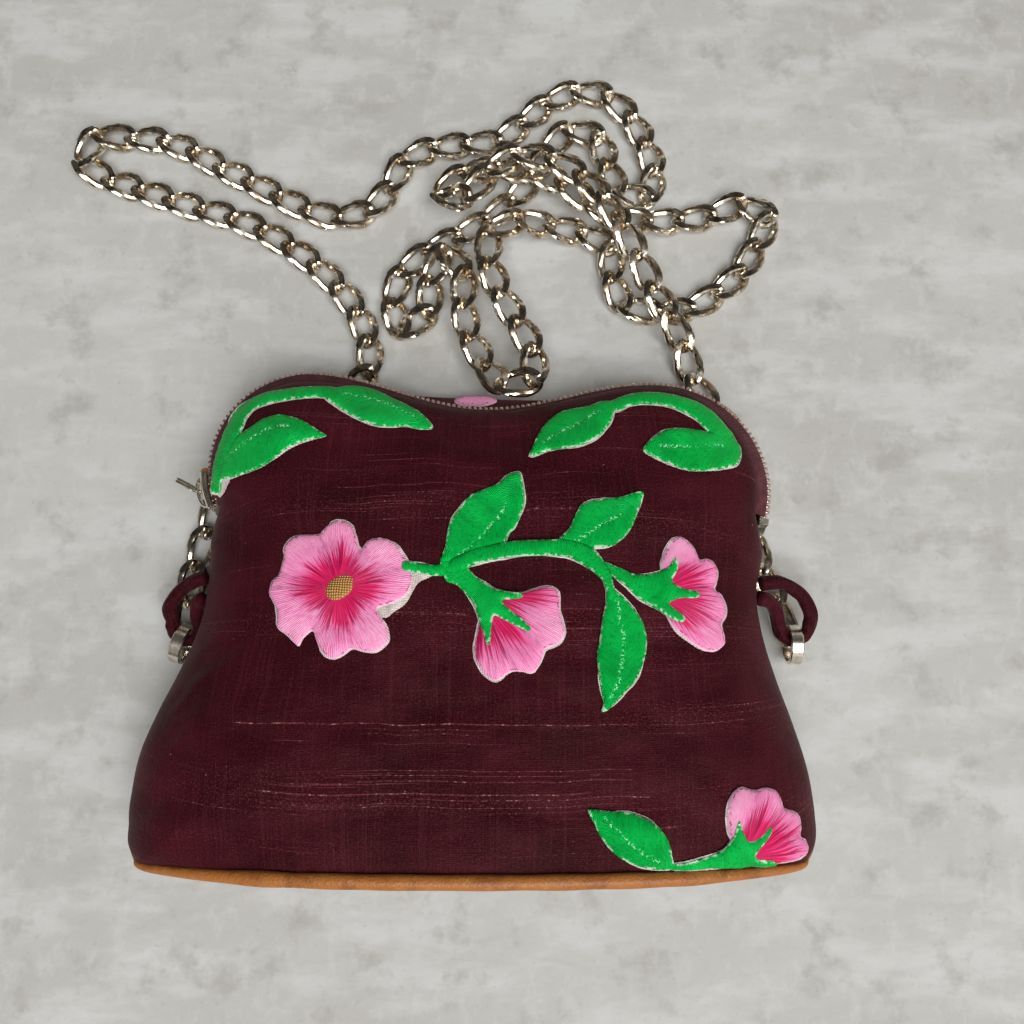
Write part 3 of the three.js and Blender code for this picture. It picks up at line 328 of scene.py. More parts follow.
def swept(rows, closed_loop=False):
    """Closed skin through rows of section points: quads between rows, and a fan at each end of an open
    sweep."""
    rows = np.asarray(rows, float)
    n, m = rows.shape[:2]
    points = rows.reshape(-1, 3)
    faces = [grid(n, m, wrap_rows=closed_loop, wrap_cols=True)]
    if not closed_loop:
        k = np.arange(m)
        first = np.column_stack([k, (k + 1) % m, np.full(m, n * m)])
        last = np.column_stack([(k + 1) % m + (n - 1) * m, k + (n - 1) * m, np.full(m, n * m + 1)])
        points = np.vstack([points, rows[0].mean(0), rows[-1].mean(0)])
        faces += [first, last]
    return points, facing_out(points, faces)


def joined(parts):
    """Several (points, faces, layers) as one."""
    points, quads, tris, layers, start = [], [], [], {}, 0
    for p, f, l in parts:
        points.append(p)
        for block in f:
            (quads if block.shape[1] == 4 else tris).append(block + start)
        for key, v in l.items():
            layers.setdefault(key, []).append(v)
        start += len(p)
    faces = [np.vstack(b) for b in (quads, tris) if b]
    return np.vstack(points), faces, {k: np.concatenate(v) for k, v in layers.items()}


def skins(blocks, closed_loop=False):
    """The closed skins through several blocks of rows, as one."""
    return joined([(*swept(rows, closed_loop), {}) for rows in blocks])[:2]


def arc_length(path):
    """Length along a line of points, from its first."""
    return np.concatenate([[0], np.cumsum(np.linalg.norm(np.diff(path, axis=0), axis=1))])


def columns_at(at, s, table):
    """The table's columns interpolated at some lengths along it."""
    return np.stack([np.interp(at, s, column) for column in table.T], -1)


def power(v, p):
    """sgn(v) |v|^p."""
    return np.sign(v) * np.abs(v) ** p


def circle(count):
    """Angles of a full turn in equal steps."""
    return 2 * np.pi * np.arange(count) / count


def tube_rows(path, radius, sides, squash=1.0):
    """Rows of a tube: P + r (cos a B + squash sin a N), B the side direction up x T and N = T x B."""
    path = np.asarray(path, float)
    t = np.gradient(path, axis=0)
    t /= np.linalg.norm(t, axis=1)[:, None]
    b = np.cross(UP, t)
    b /= np.linalg.norm(b, axis=1)[:, None]
    n = np.cross(t, b)
    a = circle(sides)
    radius = np.broadcast_to(radius, (len(path),))[:, None, None]
    ring = np.cos(a)[None, :, None] * b[:, None] + squash * np.sin(a)[None, :, None] * n[:, None]
    return path[:, None] + radius * ring


# Materials
class Tree:
    """A node tree that makes nodes with their inputs set or linked."""

    def __init__(self, tree):
        self.tree = tree

    def put(self, socket, value):
        if isinstance(value, bpy.types.NodeSocket):
            self.tree.links.new(value, socket)
        elif value is not None:
            socket.default_value = value

    def node(self, kind, *values, **inputs):
        """A new node, its inputs given by place or by name."""
        node = self.tree.nodes.new("ShaderNode" + kind)
        for key, value in (*enumerate(values), *inputs.items()):
            self.put(node.inputs[key], value)
        return node


class Shader(Tree):
    """A material's node tree, with one method per kind of step."""

    def __init__(self, name, rough=0.8, metal=0.0, sheen=0.0, gloss=0.5, coat=0.0,
                 gloss_tint=(1.0, 1.0, 1.0)):
        self.material = bpy.data.materials.new(name)
        self.material.use_nodes = True
        super().__init__(self.material.node_tree)
        self.bsdf = self.tree.nodes["Principled BSDF"]
        for key, value in (("Roughness", rough), ("Metallic", metal), ("Sheen Weight", sheen),
                           ("Specular IOR Level", gloss), ("Specular Tint", (*gloss_tint, 1.0)),
                           ("Coat Weight", coat)):
            self.put(self.bsdf.inputs[key], value)

    def place(self):
        return self.node("TexCoord").outputs["Object"]

    def layer(self, name):
        node = self.node("Attribute")
        node.attribute_name = name
        return node.outputs["Fac"]

    def uv(self, name):
        node = self.node("UVMap")
        node.uv_map = name
        return node.outputs["UV"]

    def math(self, op, a, b=None, c=None):
        node = self.node("Math")
        node.operation = op
        for k, v in enumerate((a, b, c)):
            self.put(node.inputs[k], v)
        return node.outputs[0]

    def mul(self, a, b):
        return self.math("MULTIPLY", a, b)

    def add(self, a, b):
        return self.math("ADD", a, b)

    def sub(self, a, b):
        return self.math("SUBTRACT", a, b)

    def fma(self, a, b, c):
        """a b + c."""
        return self.math("MULTIPLY_ADD", a, b, c)

    def scaled(self, vector, scale):
        return self.node("Mapping", Vector=vector, Scale=scale).outputs[0]

    def split(self, vector):
        return self.node("SeparateXYZ", vector).outputs

    def merge(self, x, y, z=0.0):
        return self.node("CombineXYZ", x, y, z).outputs[0]

    def noise(self, vector, scale, detail=3.0, rough=0.55):
        return self.node("TexNoise", Vector=vector, Scale=scale, Detail=detail,
                         Roughness=rough).outputs["Fac"]

    def stretched(self, vector, scale, detail=3.0, rough=0.55):
        """Noise with a scale of its own along each axis."""
        return self.noise(self.scaled(vector, scale), 1.0, detail, rough)

    def ramp(self, value, low, high, out_low=0.0, out_high=1.0):
        node = self.node("MapRange", value, low, high, out_low, out_high)
        node.interpolation_type = "SMOOTHSTEP"
        return node.outputs[0]

    def mix(self, share, a, b):
        node = self.node("Mix", share)
        node.data_type = "RGBA"
        for socket, v in ((node.inputs[6], a), (node.inputs[7], b)):
            v = srgb(v) if isinstance(v, str) else v
            self.put(socket, (*v, 1.0) if isinstance(v, tuple) else v)
        return node.outputs[2]

    def wave(self, value, pitch):
        """sin(2 pi value / pitch), from 0 to 1."""
        turned = self.mul(value, 2 * math.pi / pitch)
        return self.fma(self.math("SINE", turned), 0.5, 0.5)

    def finish(self, color, rough, height, distance, strength):
        """The material with its colour, its roughness unless that is None, and a bump from the height."""
        self.put(self.bsdf.inputs["Base Color"], color)
        self.put(self.bsdf.inputs["Roughness"], rough)
        bump = self.node("Bump", Distance=distance, Strength=strength, Height=height)
        self.put(self.bsdf.inputs["Normal"], bump.outputs[0])
        return self.material


def srgb(code):
    """Linear colour of a hexadecimal sRGB colour."""
    c = np.array([int(code[i:i + 2], 16) for i in (0, 2, 4)]) / 255
    return tuple(float(v) for v in np.where(c <= 0.04045, c / 12.92, ((c + 0.055) / 1.055) ** 2.4))


def toned(code, share):
    """A hexadecimal sRGB colour made darker or lighter in linear light."""
    return tuple(share * c for c in srgb(code))


# Slubs that stand out on the front: y, x from, x to, half width, strength
SLUBS = parse(
    "-35,-73,49,0.14,0.9 -35.4,48,86,0.1,0.5 -36.4,-34,8,0.08,0.5 -37.6,-34,2,0.1,0.4 -39.6,-58,-44,0.12,0.6 "
    "-40.2,-30,12,0.08,0.4 -47.4,-35,47,0.12,0.6 -48.7,-40,30,0.1,0.7 -50.2,-36,47,0.12,0.7 "
    "-48.9,31,38,0.3,1.0 -51.6,-60,-30,0.1,0.5 -53.6,-64,35,0.14,0.85 -55,-20,52,0.12,0.7 -57,-34,46,0.1,0.6 "
    "-58.4,0,60,0.08,0.4 -63,40,62,0.2,0.7 42.6,-20,10,0.1,0.4 35.7,-45,20,0.12,0.55 33,-30,30,0.1,0.5 "
    "30,-45,-10,0.14,0.6 27.6,0,42,0.12,0.5 25,34,50,0.1,0.5 -3.5,-12,-1,0.16,0.7 -6.2,-12,0,0.12,0.6 "
    "2,26,37,0.1,0.5 -9,25,34,0.1,0.5 12,-84,-62,0.1,0.4 -20,44,62,0.1,0.35")


def slub_silk(name, base, dark, light, bead, slubs=()):
    """Plain weave with slubs. Colour: dark to base by broad noise and by a grain of the thread size, then
    light where a weft-wise noise of 120:1 passes its threshold, and bead colour where a short noise does so
    within it. Height: crossed sines of the thread pitch, grain and the weft-wise noise."""
    s = Shader(name, rough=0.5, sheen=0.06, gloss=0.08, gloss_tint=(1.0, 0.7, 0.6))
    s.bsdf.inputs["Sheen Tint"].default_value = (0.75, 0.3, 0.3, 1.0)
    uv = s.uv("weave")
    u, v, _ = s.split(uv)
    broad = s.noise(s.scaled(uv, (1, 1.6, 1)), 28.0, 4.0)
    bands = s.stretched(uv, (3, 60, 1), 3.0)
    rows = s.stretched(uv, (14, 1700, 1), 2.0, 0.6)
    streak = s.ramp(s.fma(bands, 0.55, rows), 0.9, 1.08, 0.0, 0.8)
    marks = None
    wobble = s.mul(s.sub(s.stretched(uv, (30, 1, 1), 2.0), 0.5), 0.0016)
    line = s.add(v, wobble)
    for y, x0, x1, half, strength in slubs:
        off = s.math("ABSOLUTE", s.sub(line, y * MM))
        band = s.ramp(off, 0.6 * half * MM, 1.5 * half * MM, strength, 0.0)
        here = s.mul(s.ramp(u, x0 * MM, x0 * MM + 0.006), s.ramp(u, x1 * MM - 0.006, x1 * MM, 1.0, 0.0))
        mark = s.mul(band, here)
        marks = mark if marks is None else s.math("MAXIMUM", marks, mark)
    broken = s.stretched(uv, (800, 700, 1), 2.0)
    slub = streak if marks is None else s.math("MAXIMUM", streak, s.mul(marks, s.ramp(broken, 0.3, 0.5)))
    grain = s.stretched(uv, (1500, 1700, 1), 2.0, 0.6)
    upright = s.ramp(s.stretched(uv, (1700, 24, 1), 1.0), 0.5, 0.75)
    tone = s.mix(s.ramp(broad, 0.3, 0.7), dark, base)
    tone = s.mix(s.ramp(grain, 0.3, 0.5, 0.45, 0.0), tone, toned(dark, 0.35))
    busy = s.ramp(bands, 0.45, 0.65, 0.15, 0.5)
    tone = s.mix(s.mul(s.ramp(grain, 0.52, 0.7), busy), tone, light)
    tone = s.mix(s.mul(upright, 0.1), tone, light)
    tone = s.mix(s.mul(slub, s.ramp(grain, 0.35, 0.55, 0.25, 0.95)), tone, light)
    beads = s.mul(slub, s.ramp(broken, 0.58, 0.7))
    tone = s.mix(s.mul(beads, 0.75), tone, bead)
    nub = s.ramp(s.stretched(uv, (520, 900, 1), 1.0), 0.79, 0.84)
    tone = s.mix(s.mul(nub, 0.6), tone, bead)
    weave = s.add(s.wave(u, 0.00055), s.wave(v, 0.0006))
    height = s.fma(weave, 0.12, s.mul(streak, 0.8))
    height = s.fma(grain, 0.9, height)
    height = s.fma(s.stretched(uv, (150, 420, 1), 3.0), 1.4, height)
    return s.finish(tone, s.fma(broad, -0.1, 0.55), height, 0.00022, 0.85)


def stitched(name, dark, base, light, pale):
    """Satin stitching: the thread attribute, in millimetres across the threads, gives a ridge every 0.42,
    lighter along each crest as a painted highlight, and each thread's tone comes from noise along it. The rib
    attribute is a groove of pale stitches, darkened in the groove as painted shade, and the rim attribute, 0
    inside to 1 at the cut edge, is pale where noise breaks it."""
    s = Shader(name, rough=0.4, gloss=0.5, gloss_tint=(0.06, 1.0, 0.35))
    thread = s.layer("thread")
    along = s.layer("along")
    rim = s.layer("rim")
    rib = s.layer("rib")
    place = s.place()
    uneven = s.mul(s.noise(place, 900.0, 1.0), 0.35)
    ridge = s.wave(s.add(thread, uneven), 0.42)
    each = s.noise(s.merge(s.mul(thread, 2.3), s.mul(along, 0.22)), 1.0, 2.0, 0.6)
    broad = s.noise(place, 120.0, 2.0)
    speck = s.noise(place, 1500.0, 1.0)
    shade = s.ramp(s.fma(each, 0.5, s.mul(broad, 0.5)), 0.36, 0.64)
    tone = s.mix(shade, dark, base)
    # Painted highlight: the tone lightens along each thread ridge's crest.
    tone = s.mix(s.mul(s.math("POWER", ridge, 3.0), 0.16), tone, light)
    tone = s.mix(s.ramp(speck, 0.3, 0.42, 0.5, 0.0), tone, toned(dark, 0.45))
    # Painted shade: the tone darkens in the rib's groove, where the height sinks.
    groove = s.ramp(rib, 0.15, 0.5, 0.0, 0.3)
    tone = s.mix(groove, tone, toned(dark, 0.6))
    fleck = s.noise(place, 1700.0, 1.0)
    tone = s.mix(s.mul(s.ramp(rib, 0.08, 0.5), s.ramp(fleck, 0.5, 0.6)), tone, light)
    tone = s.mix(s.mul(s.ramp(rib, 0.3, 0.75), s.ramp(fleck, 0.54, 0.64, 0.0, 0.85)), tone, pale)
    edge = s.mul(s.ramp(rim, 0.35, 0.8), s.ramp(s.noise(place, 750.0, 2.0), 0.46, 0.6))
    tone = s.mix(s.mul(edge, 0.75), tone, pale)
    height = s.fma(each, 0.8, ridge)
    height = s.sub(height, s.mul(rib, 1.4))
    return s.finish(tone, None, height, 0.00022, 0.7)


def gold_knots(name, dark, base, light):
    """A pad of gold knots: sines crossed at 45 degrees to the thread and along attributes, pitch 1.05. The
    tone follows the knots' height: darker in the hollows as painted shade, lighter on the tops as painted
    highlight.
    """
    s = Shader(name, rough=0.45, gloss=0.5)
    thread = s.layer("thread")
    along = s.layer("along")
    uneven = s.mul(s.noise(s.place(), 500.0, 2.0), 0.7)
    one = s.wave(s.add(s.add(thread, along), uneven), 1.05)
    two = s.wave(s.add(s.sub(thread, along), uneven), 1.05)
    knot = s.mul(one, two)
    # Painted shade in the hollows between knots, painted highlight on the knot tops.
    tone = s.mix(s.ramp(knot, 0.02, 0.3), dark, base)
    tone = s.mix(s.ramp(knot, 0.4, 0.8, 0.0, 0.8), tone, light)
    return s.finish(tone, None, knot, 0.0004, 0.9)


def petal_stitching(name):
    """Satin stitching in pinks: inside the ray attribute 1 the threads are crimson, with a ragged edge from
    noise that depends on the angle alone, and beyond it they fade from rose to pale pink. A broken line of
    dark stitch holes runs inside the rim. Along the groove attribute the tone is darkened as painted shade,
    where the height sinks into the creases between petals."""
    s = Shader(name, rough=0.45, gloss=0.35, gloss_tint=(1.0, 0.6, 0.8))
    thread = s.layer("thread")
    rays = s.layer("ray")
    rim = s.layer("rim")
    groove = s.layer("groove")
    place = s.place()
    ridge = s.wave(s.add(thread, s.mul(s.noise(place, 900.0, 1.0), 0.3)), 0.44)
    fine = s.noise(s.merge(s.mul(thread, 1.3), 0.0), 1.0, 2.0, 0.6)
    broad = s.noise(s.merge(s.mul(thread, 0.3), 0.0), 1.0, 1.0, 0.5)
    each = s.noise(s.merge(s.mul(thread, 2.1), s.mul(rays, 3.0)), 1.0, 2.0)
    pink = s.mix(s.ramp(each, 0.35, 0.65), "ee74b0", "fba6d2")
    pink = s.mix(s.ramp(s.noise(place, 110.0, 2.0), 0.4, 0.65, 0.0, 0.6), pink, "f48cc2")
    pink = s.mix(s.ramp(rays, 1.1, 2.0, 0.0, 0.45), pink, "fdbcdc")
    centred = s.sub(fine, 0.5)
    reach = s.fma(s.sub(broad, 0.5), 0.5, rays)
    core = s.ramp(s.fma(centred, 1.6, reach), 0.8, 0.94, 1.0, 0.0)
    thin = s.noise(s.merge(s.mul(thread, 1.7), 7.3), 1.0, 1.0, 0.5)
    past = s.ramp(s.fma(centred, -1.6, reach), 1.0, 1.15, 1.0, 0.0)
    strokes = s.mul(s.mul(s.ramp(thin, 0.5, 0.58), past), s.ramp(reach, 0.25, 0.6))
    crimson = s.mix(s.ramp(each, 0.35, 0.65), "e0145a", "f82e74")
    tone = s.mix(s.ramp(reach, 0.85, 1.3, 0.6, 0.0), pink, "f2559a")
    tone = s.mix(core, tone, crimson)
    tone = s.mix(s.mul(strokes, 0.85), tone, "a00844")
    tone = s.mix(s.ramp(s.noise(place, 1500.0, 1.0), 0.3, 0.42, 0.2, 0.0), tone, "b0487c")
    # Painted shade: the tone darkens along the grooves between petals.
    tone = s.mix(s.mul(groove, 0.45), tone, "b03f78")
    outer = s.ramp(rim, 0.5, 0.85)
    tone = s.mix(s.mul(outer, 0.7), tone, "f7dbe6")
    inner = s.mul(s.ramp(rim, 0.2, 0.34), s.ramp(rim, 0.42, 0.6, 1.0, 0.0))
    holes = s.mul(inner, s.ramp(s.noise(place, 1100.0, 0.0), 0.56, 0.66))
    tone = s.mix(s.mul(holes, 0.8), tone, "6a3a50")
    height = s.sub(s.fma(each, 0.8, ridge), s.mul(groove, 1.0))
    return s.finish(tone, None, height, 0.0002, 0.6)


def nickel(name, tint, rough, film_and_reflection_tint, film_and_reflection_share=0.8):
    """Plated metal: roughness and bump from fine noise, with darker warm patches: a film that, on the chain,
    is partly painted brown reflection of the room.
    """
    s = Shader(name, rough=rough, metal=1.0)
    place = s.place()
    # Warm dark patches, partly a film and partly painted brown reflection.
    film_and_reflection = s.ramp(s.noise(place, 170.0, 3.0), 0.4, 0.66)
    tone = s.mix(s.mul(film_and_reflection, film_and_reflection_share), tint, film_and_reflection_tint)
    scratch = s.stretched(place, (900, 300, 900), 2.0)
    rough_map = s.add(s.mul(film_and_reflection, 0.1), s.fma(scratch, 0.12, rough - 0.06))
    return s.finish(tone, rough_map, s.noise(place, 500.0, 2.0), 0.0001, 0.6)


def hide(name, base, dark, light):
    """Leather: pebbled noise and fine cells as height, worn lighter patches as colour."""
    s = Shader(name, rough=0.5, coat=0.05, gloss=0.35)
    place = s.place()
    cells = s.node("TexVoronoi", Vector=place, Scale=1400.0)
    broad = s.noise(place, 150.0, 4.0)
    tone = s.mix(s.ramp(broad, 0.25, 0.55), dark, base)
    tone = s.mix(s.ramp(s.noise(s.scaled(place, (1, 1, 4)), 320.0, 2.0), 0.55, 0.8, 0.0, 0.5), tone, light)
    height = s.add(cells.outputs["Distance"], s.mul(broad, 1.5))
    return s.finish(tone, s.fma(broad, 0.2, 0.38), height, 0.00018, 0.7)


def plain_weave(name, base, dark, pitch=0.0006):
    """Plain woven cloth by object coordinates: crossed sines of the thread pitch and a mottled tone, lighter
    where both sines peak as a painted highlight on the weave's crests.
    """
    s = Shader(name, rough=0.85, sheen=0.05, gloss=0.2)
    place = s.place()
    x, y, z = s.split(place)
    one = s.wave(s.add(x, z), pitch)
    two = s.wave(s.sub(y, z), pitch)
    tone = s.mix(s.ramp(s.noise(place, 300.0, 3.0), 0.35, 0.65), dark, base)
    # Painted highlight: lighter where both thread sines peak, on the crests of the weave.
    tone = s.mix(s.mul(s.mul(one, two), 0.3), tone, toned(base, 1.8))
    return s.finish(tone, None, s.add(one, two), 0.0002, 0.8)


def cotton_thread(name, tone):
    """Twisted sewing thread: diagonal sine ridges and a slightly mottled tone."""
    s = Shader(name, rough=0.6, sheen=0.2)
    place = s.place()
    x, y, z = s.split(place)
    ridge = s.wave(s.add(x, s.add(y, z)), 0.00035)
    shade = s.mix(s.noise(place, 600.0, 2.0), toned(tone, 0.7), tone)
    return s.finish(shade, None, ridge, 0.0001, 0.7)


MAROON = ("3f0f1a", "2a050d", "7a3c42", "c8a09c")
SILK = slub_silk("maroon_slub_silk", *MAROON, SLUBS)
SILK_PLAIN = slub_silk("maroon_slub_silk_plain", *MAROON)
GREEN = stitched("leaf_stitching", "039838", "04bb48", "24e274", "daf6e0")
PINK = petal_stitching("petal_stitching")
GOLD = gold_knots("gold_knots", "8c5420", "d8a050", "f6dc98")
BACKING = plain_weave("white_backing", "e6ddd8", "b8aca6", 0.0005)
# The chain's brown film colour is partly a painted reflection of the dark brown room.
CHAIN_METAL = nickel("chain_nickel", "efe6d6", 0.16, "9a8368")
FITTING_METAL = nickel("fitting_nickel", "f2ece0", 0.24, "a08e78", 0.6)
ZIP_METAL = nickel("zip_nickel", "ecd2c8", 0.26, "c09a90", 0.6)
TAPE = plain_weave("zip_tape_cloth", "5c2a33", "461a23", 0.0007)
LINING = plain_weave("lining_cotton", "3a1a20", "2a1217")
TAN = hide("tan_leather", "a46630", "864e24", "b88652")
SEWING = cotton_thread("light_sewing_thread", "d8b890")
DARK_SEWING = cotton_thread("maroon_sewing_thread", "5a2730")


# Panels
def panel_skin(place, wall, rhos, column):
    """Rings of points from the centre out to the rim: plan = centre + rho (edge - centre), height from
    place."""
    inset = RIM[:, column] + wall
    edge = np.column_stack([RIM[:, 0] - RIM[:, 6] * inset, RIM[:, 1] - RIM[:, 7] * inset - CENTRE_Y])
    x = rhos[:, None] * edge[None, :, 0]
    y = CENTRE_Y + rhos[:, None] * edge[None, :, 1]
    return x, y, place(x, y, rhos[:, None] + 0 * x, wall)


def panel(name, place, column, node, material, drop):
    """A dished panel: outer and inner skins joined at the rim. The weave layer is the plan unrolled by the
    drop in height from the middle: (x, y) + drop (x, y - centre) / distance."""
    u = np.linspace(0, 1, 58)[1:]
    rhos = np.concatenate([[0.004], 1 - (1 - u) ** 1.7])
    n = len(RIM)
    skins = []
    for wall in (0.0, WALL):
        x, y, z = panel_skin(place, wall, rhos, column)
        skins.append(np.stack([x, y, z], -1))
    rows = np.concatenate([skins[0], skins[1][::-1]])
    points = rows.reshape(-1, 3)
    faces = [grid(len(rows), n, wrap_cols=True)]
    k = np.arange(n)
    top, low = len(points), len(points) + 1
    points = np.vstack([points, skins[0][0].mean(0), skins[1][0].mean(0)])
    last = (len(rows) - 1) * n
    faces.append(np.column_stack([np.full(n, top), k, (k + 1) % n]))
    faces.append(np.column_stack([np.full(n, low), last + (k + 1) % n, last + k]))
    faces = facing_out(points, faces)
    away = np.hypot(points[:, 0], points[:, 1] - CENTRE_Y)[:, None]
    direction = np.column_stack([points[:, 0], points[:, 1] - CENTRE_Y]) / np.maximum(away, 1e-6)
    weave = (points[:, :2] + direction * drop(points)[:, None]) * MM
    obj = make_mesh(name, points, faces, slot="slub_silk", replaces=[node], material=material,
                    layers={"weave": weave})
    return obj


def front_place(x, y, rho, wall):
    edge = RIM[None, :, 2]
    return edge + (crown(y) - wall - edge) * dome(rho) + soft_front(x, y,
                                                                    np.minimum(rho, 0.985)) * (rho < 0.999)


def back_place(x, y, rho, wall):
    soft = 0.35 * waves(x, y, 30, 21) * np.clip((rho - 0.7) / 0.2, 0, 1) * (1 - rho ** 8)
    return wall + (RIM[None, :, 3] - wall) * rise(rho) + np.maximum(soft, -0.3)


panel("front_cloth", front_place, 4, "front_panel", SILK,
      lambda p: np.clip(crown(p[:, 1]) - p[:, 2], 0, None))
panel("back_cloth", back_place, 5, "back_panel", SILK_PLAIN, lambda p: p[:, 2])


# Base
def offset(rows, out, z):
    """Outline rows moved out along their normals, at a height."""
    out = np.broadcast_to(out, (len(rows),))
    z = np.broadcast_to(z, (len(rows),))
    return np.column_stack([rows[:, 0] + rows[:, 6] * out, rows[:, 1] + rows[:, 7] * out, z])


def base_panel():
    """The base cloth: at each station a bow from seam to seam, out = bulge sin(pi t)^0.8, 1.8 thick."""
    rows = RIM[BASE_FIRST:BASE_LAST + 1]
    rows = rows[rows[:, 2] - rows[:, 3] > 3]
    t = np.linspace(0, 1, 15)
    top, low = rows[:, 2] - 0.5, rows[:, 3] + 0.5
    bulge = 5.0 * (top - low) / 46
    outer, inner = [], []
    for share in t:
        z = top + (low - top) * share
        arch = math.sin(math.pi * share)
        bow = bulge * arch ** 0.8 + 0.25 * waves(rows[:, 0], z, 26, 9) * arch
        outer.append(offset(rows, bow, z))
        inner.append(offset(rows, bow - WALL, z))
    points, faces = swept(np.stack(outer + inner[::-1], 1))
    weave = np.column_stack([points[:, 0], points[:, 2] - 40]) * MM
    obj = make_mesh("base_cloth", points, faces, slot="slub_silk", replaces=["base_panel"],
                    material=SILK_PLAIN,
                    layers={"weave": weave}, sharp=50)


PIPING_RADIUS = 2.1


def piping_line(front):
    """The piping's middle line and radius: radius 2.1 eased to 0.12 of it over the base corners, out by 0.8
    of the radius less 0.2 so that it presses into the seam, beside the front or the back one."""
    rows = RIM[BASE_FIRST + RIM_STEPS:BASE_LAST - 2 * RIM_STEPS + 1]
    from_end = np.minimum(np.arange(len(rows)), np.arange(len(rows))[::-1]) / (4 * RIM_STEPS)
    radius = PIPING_RADIUS * (0.12 + 0.88 * ease(np.minimum(from_end, 1)))
    apart = 0.7 * radius * (1 - (rows[:, 2] - SEAM_LOW) / SEAM_RISE)
    if front:
        z = rows[:, 2] + 0.35 * radius + apart
    else:
        z = np.maximum(rows[:, 3] - apart, 2.2)
    return offset(rows, 0.8 * radius - 0.2, z), radius


def stitches(path, length, gap, radius):
    """Stitches along a line: each a spindle of 6 by 7 points, r = radius sqrt(1 - t^2), t from -1 to 1."""
    s = arc_length(path)
    starts = np.arange(gap, s[-1] - length - gap, length + gap)
    t = np.linspace(-1, 1, 7)
    at = starts[:, None] + length * (t[None] + 1) / 2
    line = columns_at(at, s, path)
    direction = line[:, -1] - line[:, 0]
    direction /= np.linalg.norm(direction, axis=1)[:, None]
    b = np.cross(direction, UP)
    b /= np.linalg.norm(b, axis=1)[:, None]
    n = np.cross(b, direction)
    a = circle(6)
    r = radius * np.sqrt(np.clip(1 - t ** 2, 0.02, 1))
    ring = np.cos(a)[None, None, :, None] * b[:, None,
                                              None] + np.sin(a)[None, None, :, None] * n[:, None, None]
    return skins(line[:, :, None] + r[None, :, None, None] * ring)


def piping():
    for front, node in ((True, "base_piping_front"), (False, "base_piping_back")):
        path, radius = piping_line(front)
        uneven = 1 + 0.05 * waves(path[:, 0], path[:, 1], 14, 4)
        make_mesh("leather_" + node, *swept(tube_rows(path, radius * uneven, 18, 0.95)), slot="tan_leather",
                  replaces=[node], material=TAN, sharp=60)
        full = radius > 1.2
        inner = path[full] + radius[full, None] * np.array([0, -0.82, 0.26 if front else -0.26])
        make_mesh("stitches_" + node, *stitches(inner, 1.7, 1.1, 0.26), slot="tan_leather", material=SEWING)


def dressed(nodes, material):
    """Gives the frame's own pieces, which stay in view, a material."""
    for name in nodes:
        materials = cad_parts[name].data.materials
        materials.clear()
        materials.append(material)


base_panel()
piping()
dressed(("lining_front", "lining_back", "lining_base"), LINING)


# Patches
def to_polyline(p, line):
    """Distance from each point to a polyline, the side as a sign, and the arc length at the nearest point."""
    a, b = line[:-1], line[1:]
    d = b - a
    size = (d ** 2).sum(1)
    t = np.clip(((p[:, None] - a[None]) * d[None]).sum(-1) / size[None], 0, 1)
    foot = a[None] + t[..., None] * d[None]
    gap = p[:, None] - foot
    far = np.hypot(gap[..., 0], gap[..., 1])
    k = far.argmin(1)
    i = np.arange(len(p))
    side = np.sign(d[k, 0] * gap[i, k, 1] - d[k, 1] * gap[i, k, 0])
    arc = np.concatenate([[0], np.cumsum(np.sqrt(size))])
    return far[i, k], side, arc[k] + t[i, k] * np.sqrt(size[k])


def resampled(outline, step):
    """A closed line cut into equal steps."""
    loop = np.vstack([outline, outline[:1]])
    s = arc_length(loop)
    return columns_at(np.linspace(0, s[-1], max(12, int(s[-1] / step)), endpoint=False), s, loop)


def grown(outline, out):
    """A closed line moved out along its normals."""
    step = np.roll(outline, -1, 0) - np.roll(outline, 1, 0)
    step /= np.maximum(np.linalg.norm(step, axis=1), 1e-9)[:, None]
    x, y = outline.T
    turn = 1 if np.sum(x * np.roll(y, -1) - y * np.roll(x, -1)) > 0 else -1
    out = np.broadcast_to(out, (len(outline),))[:, None]
    return outline + out * turn * np.column_stack([step[:, 1], -step[:, 0]])


EDGE_RAG = 0.06


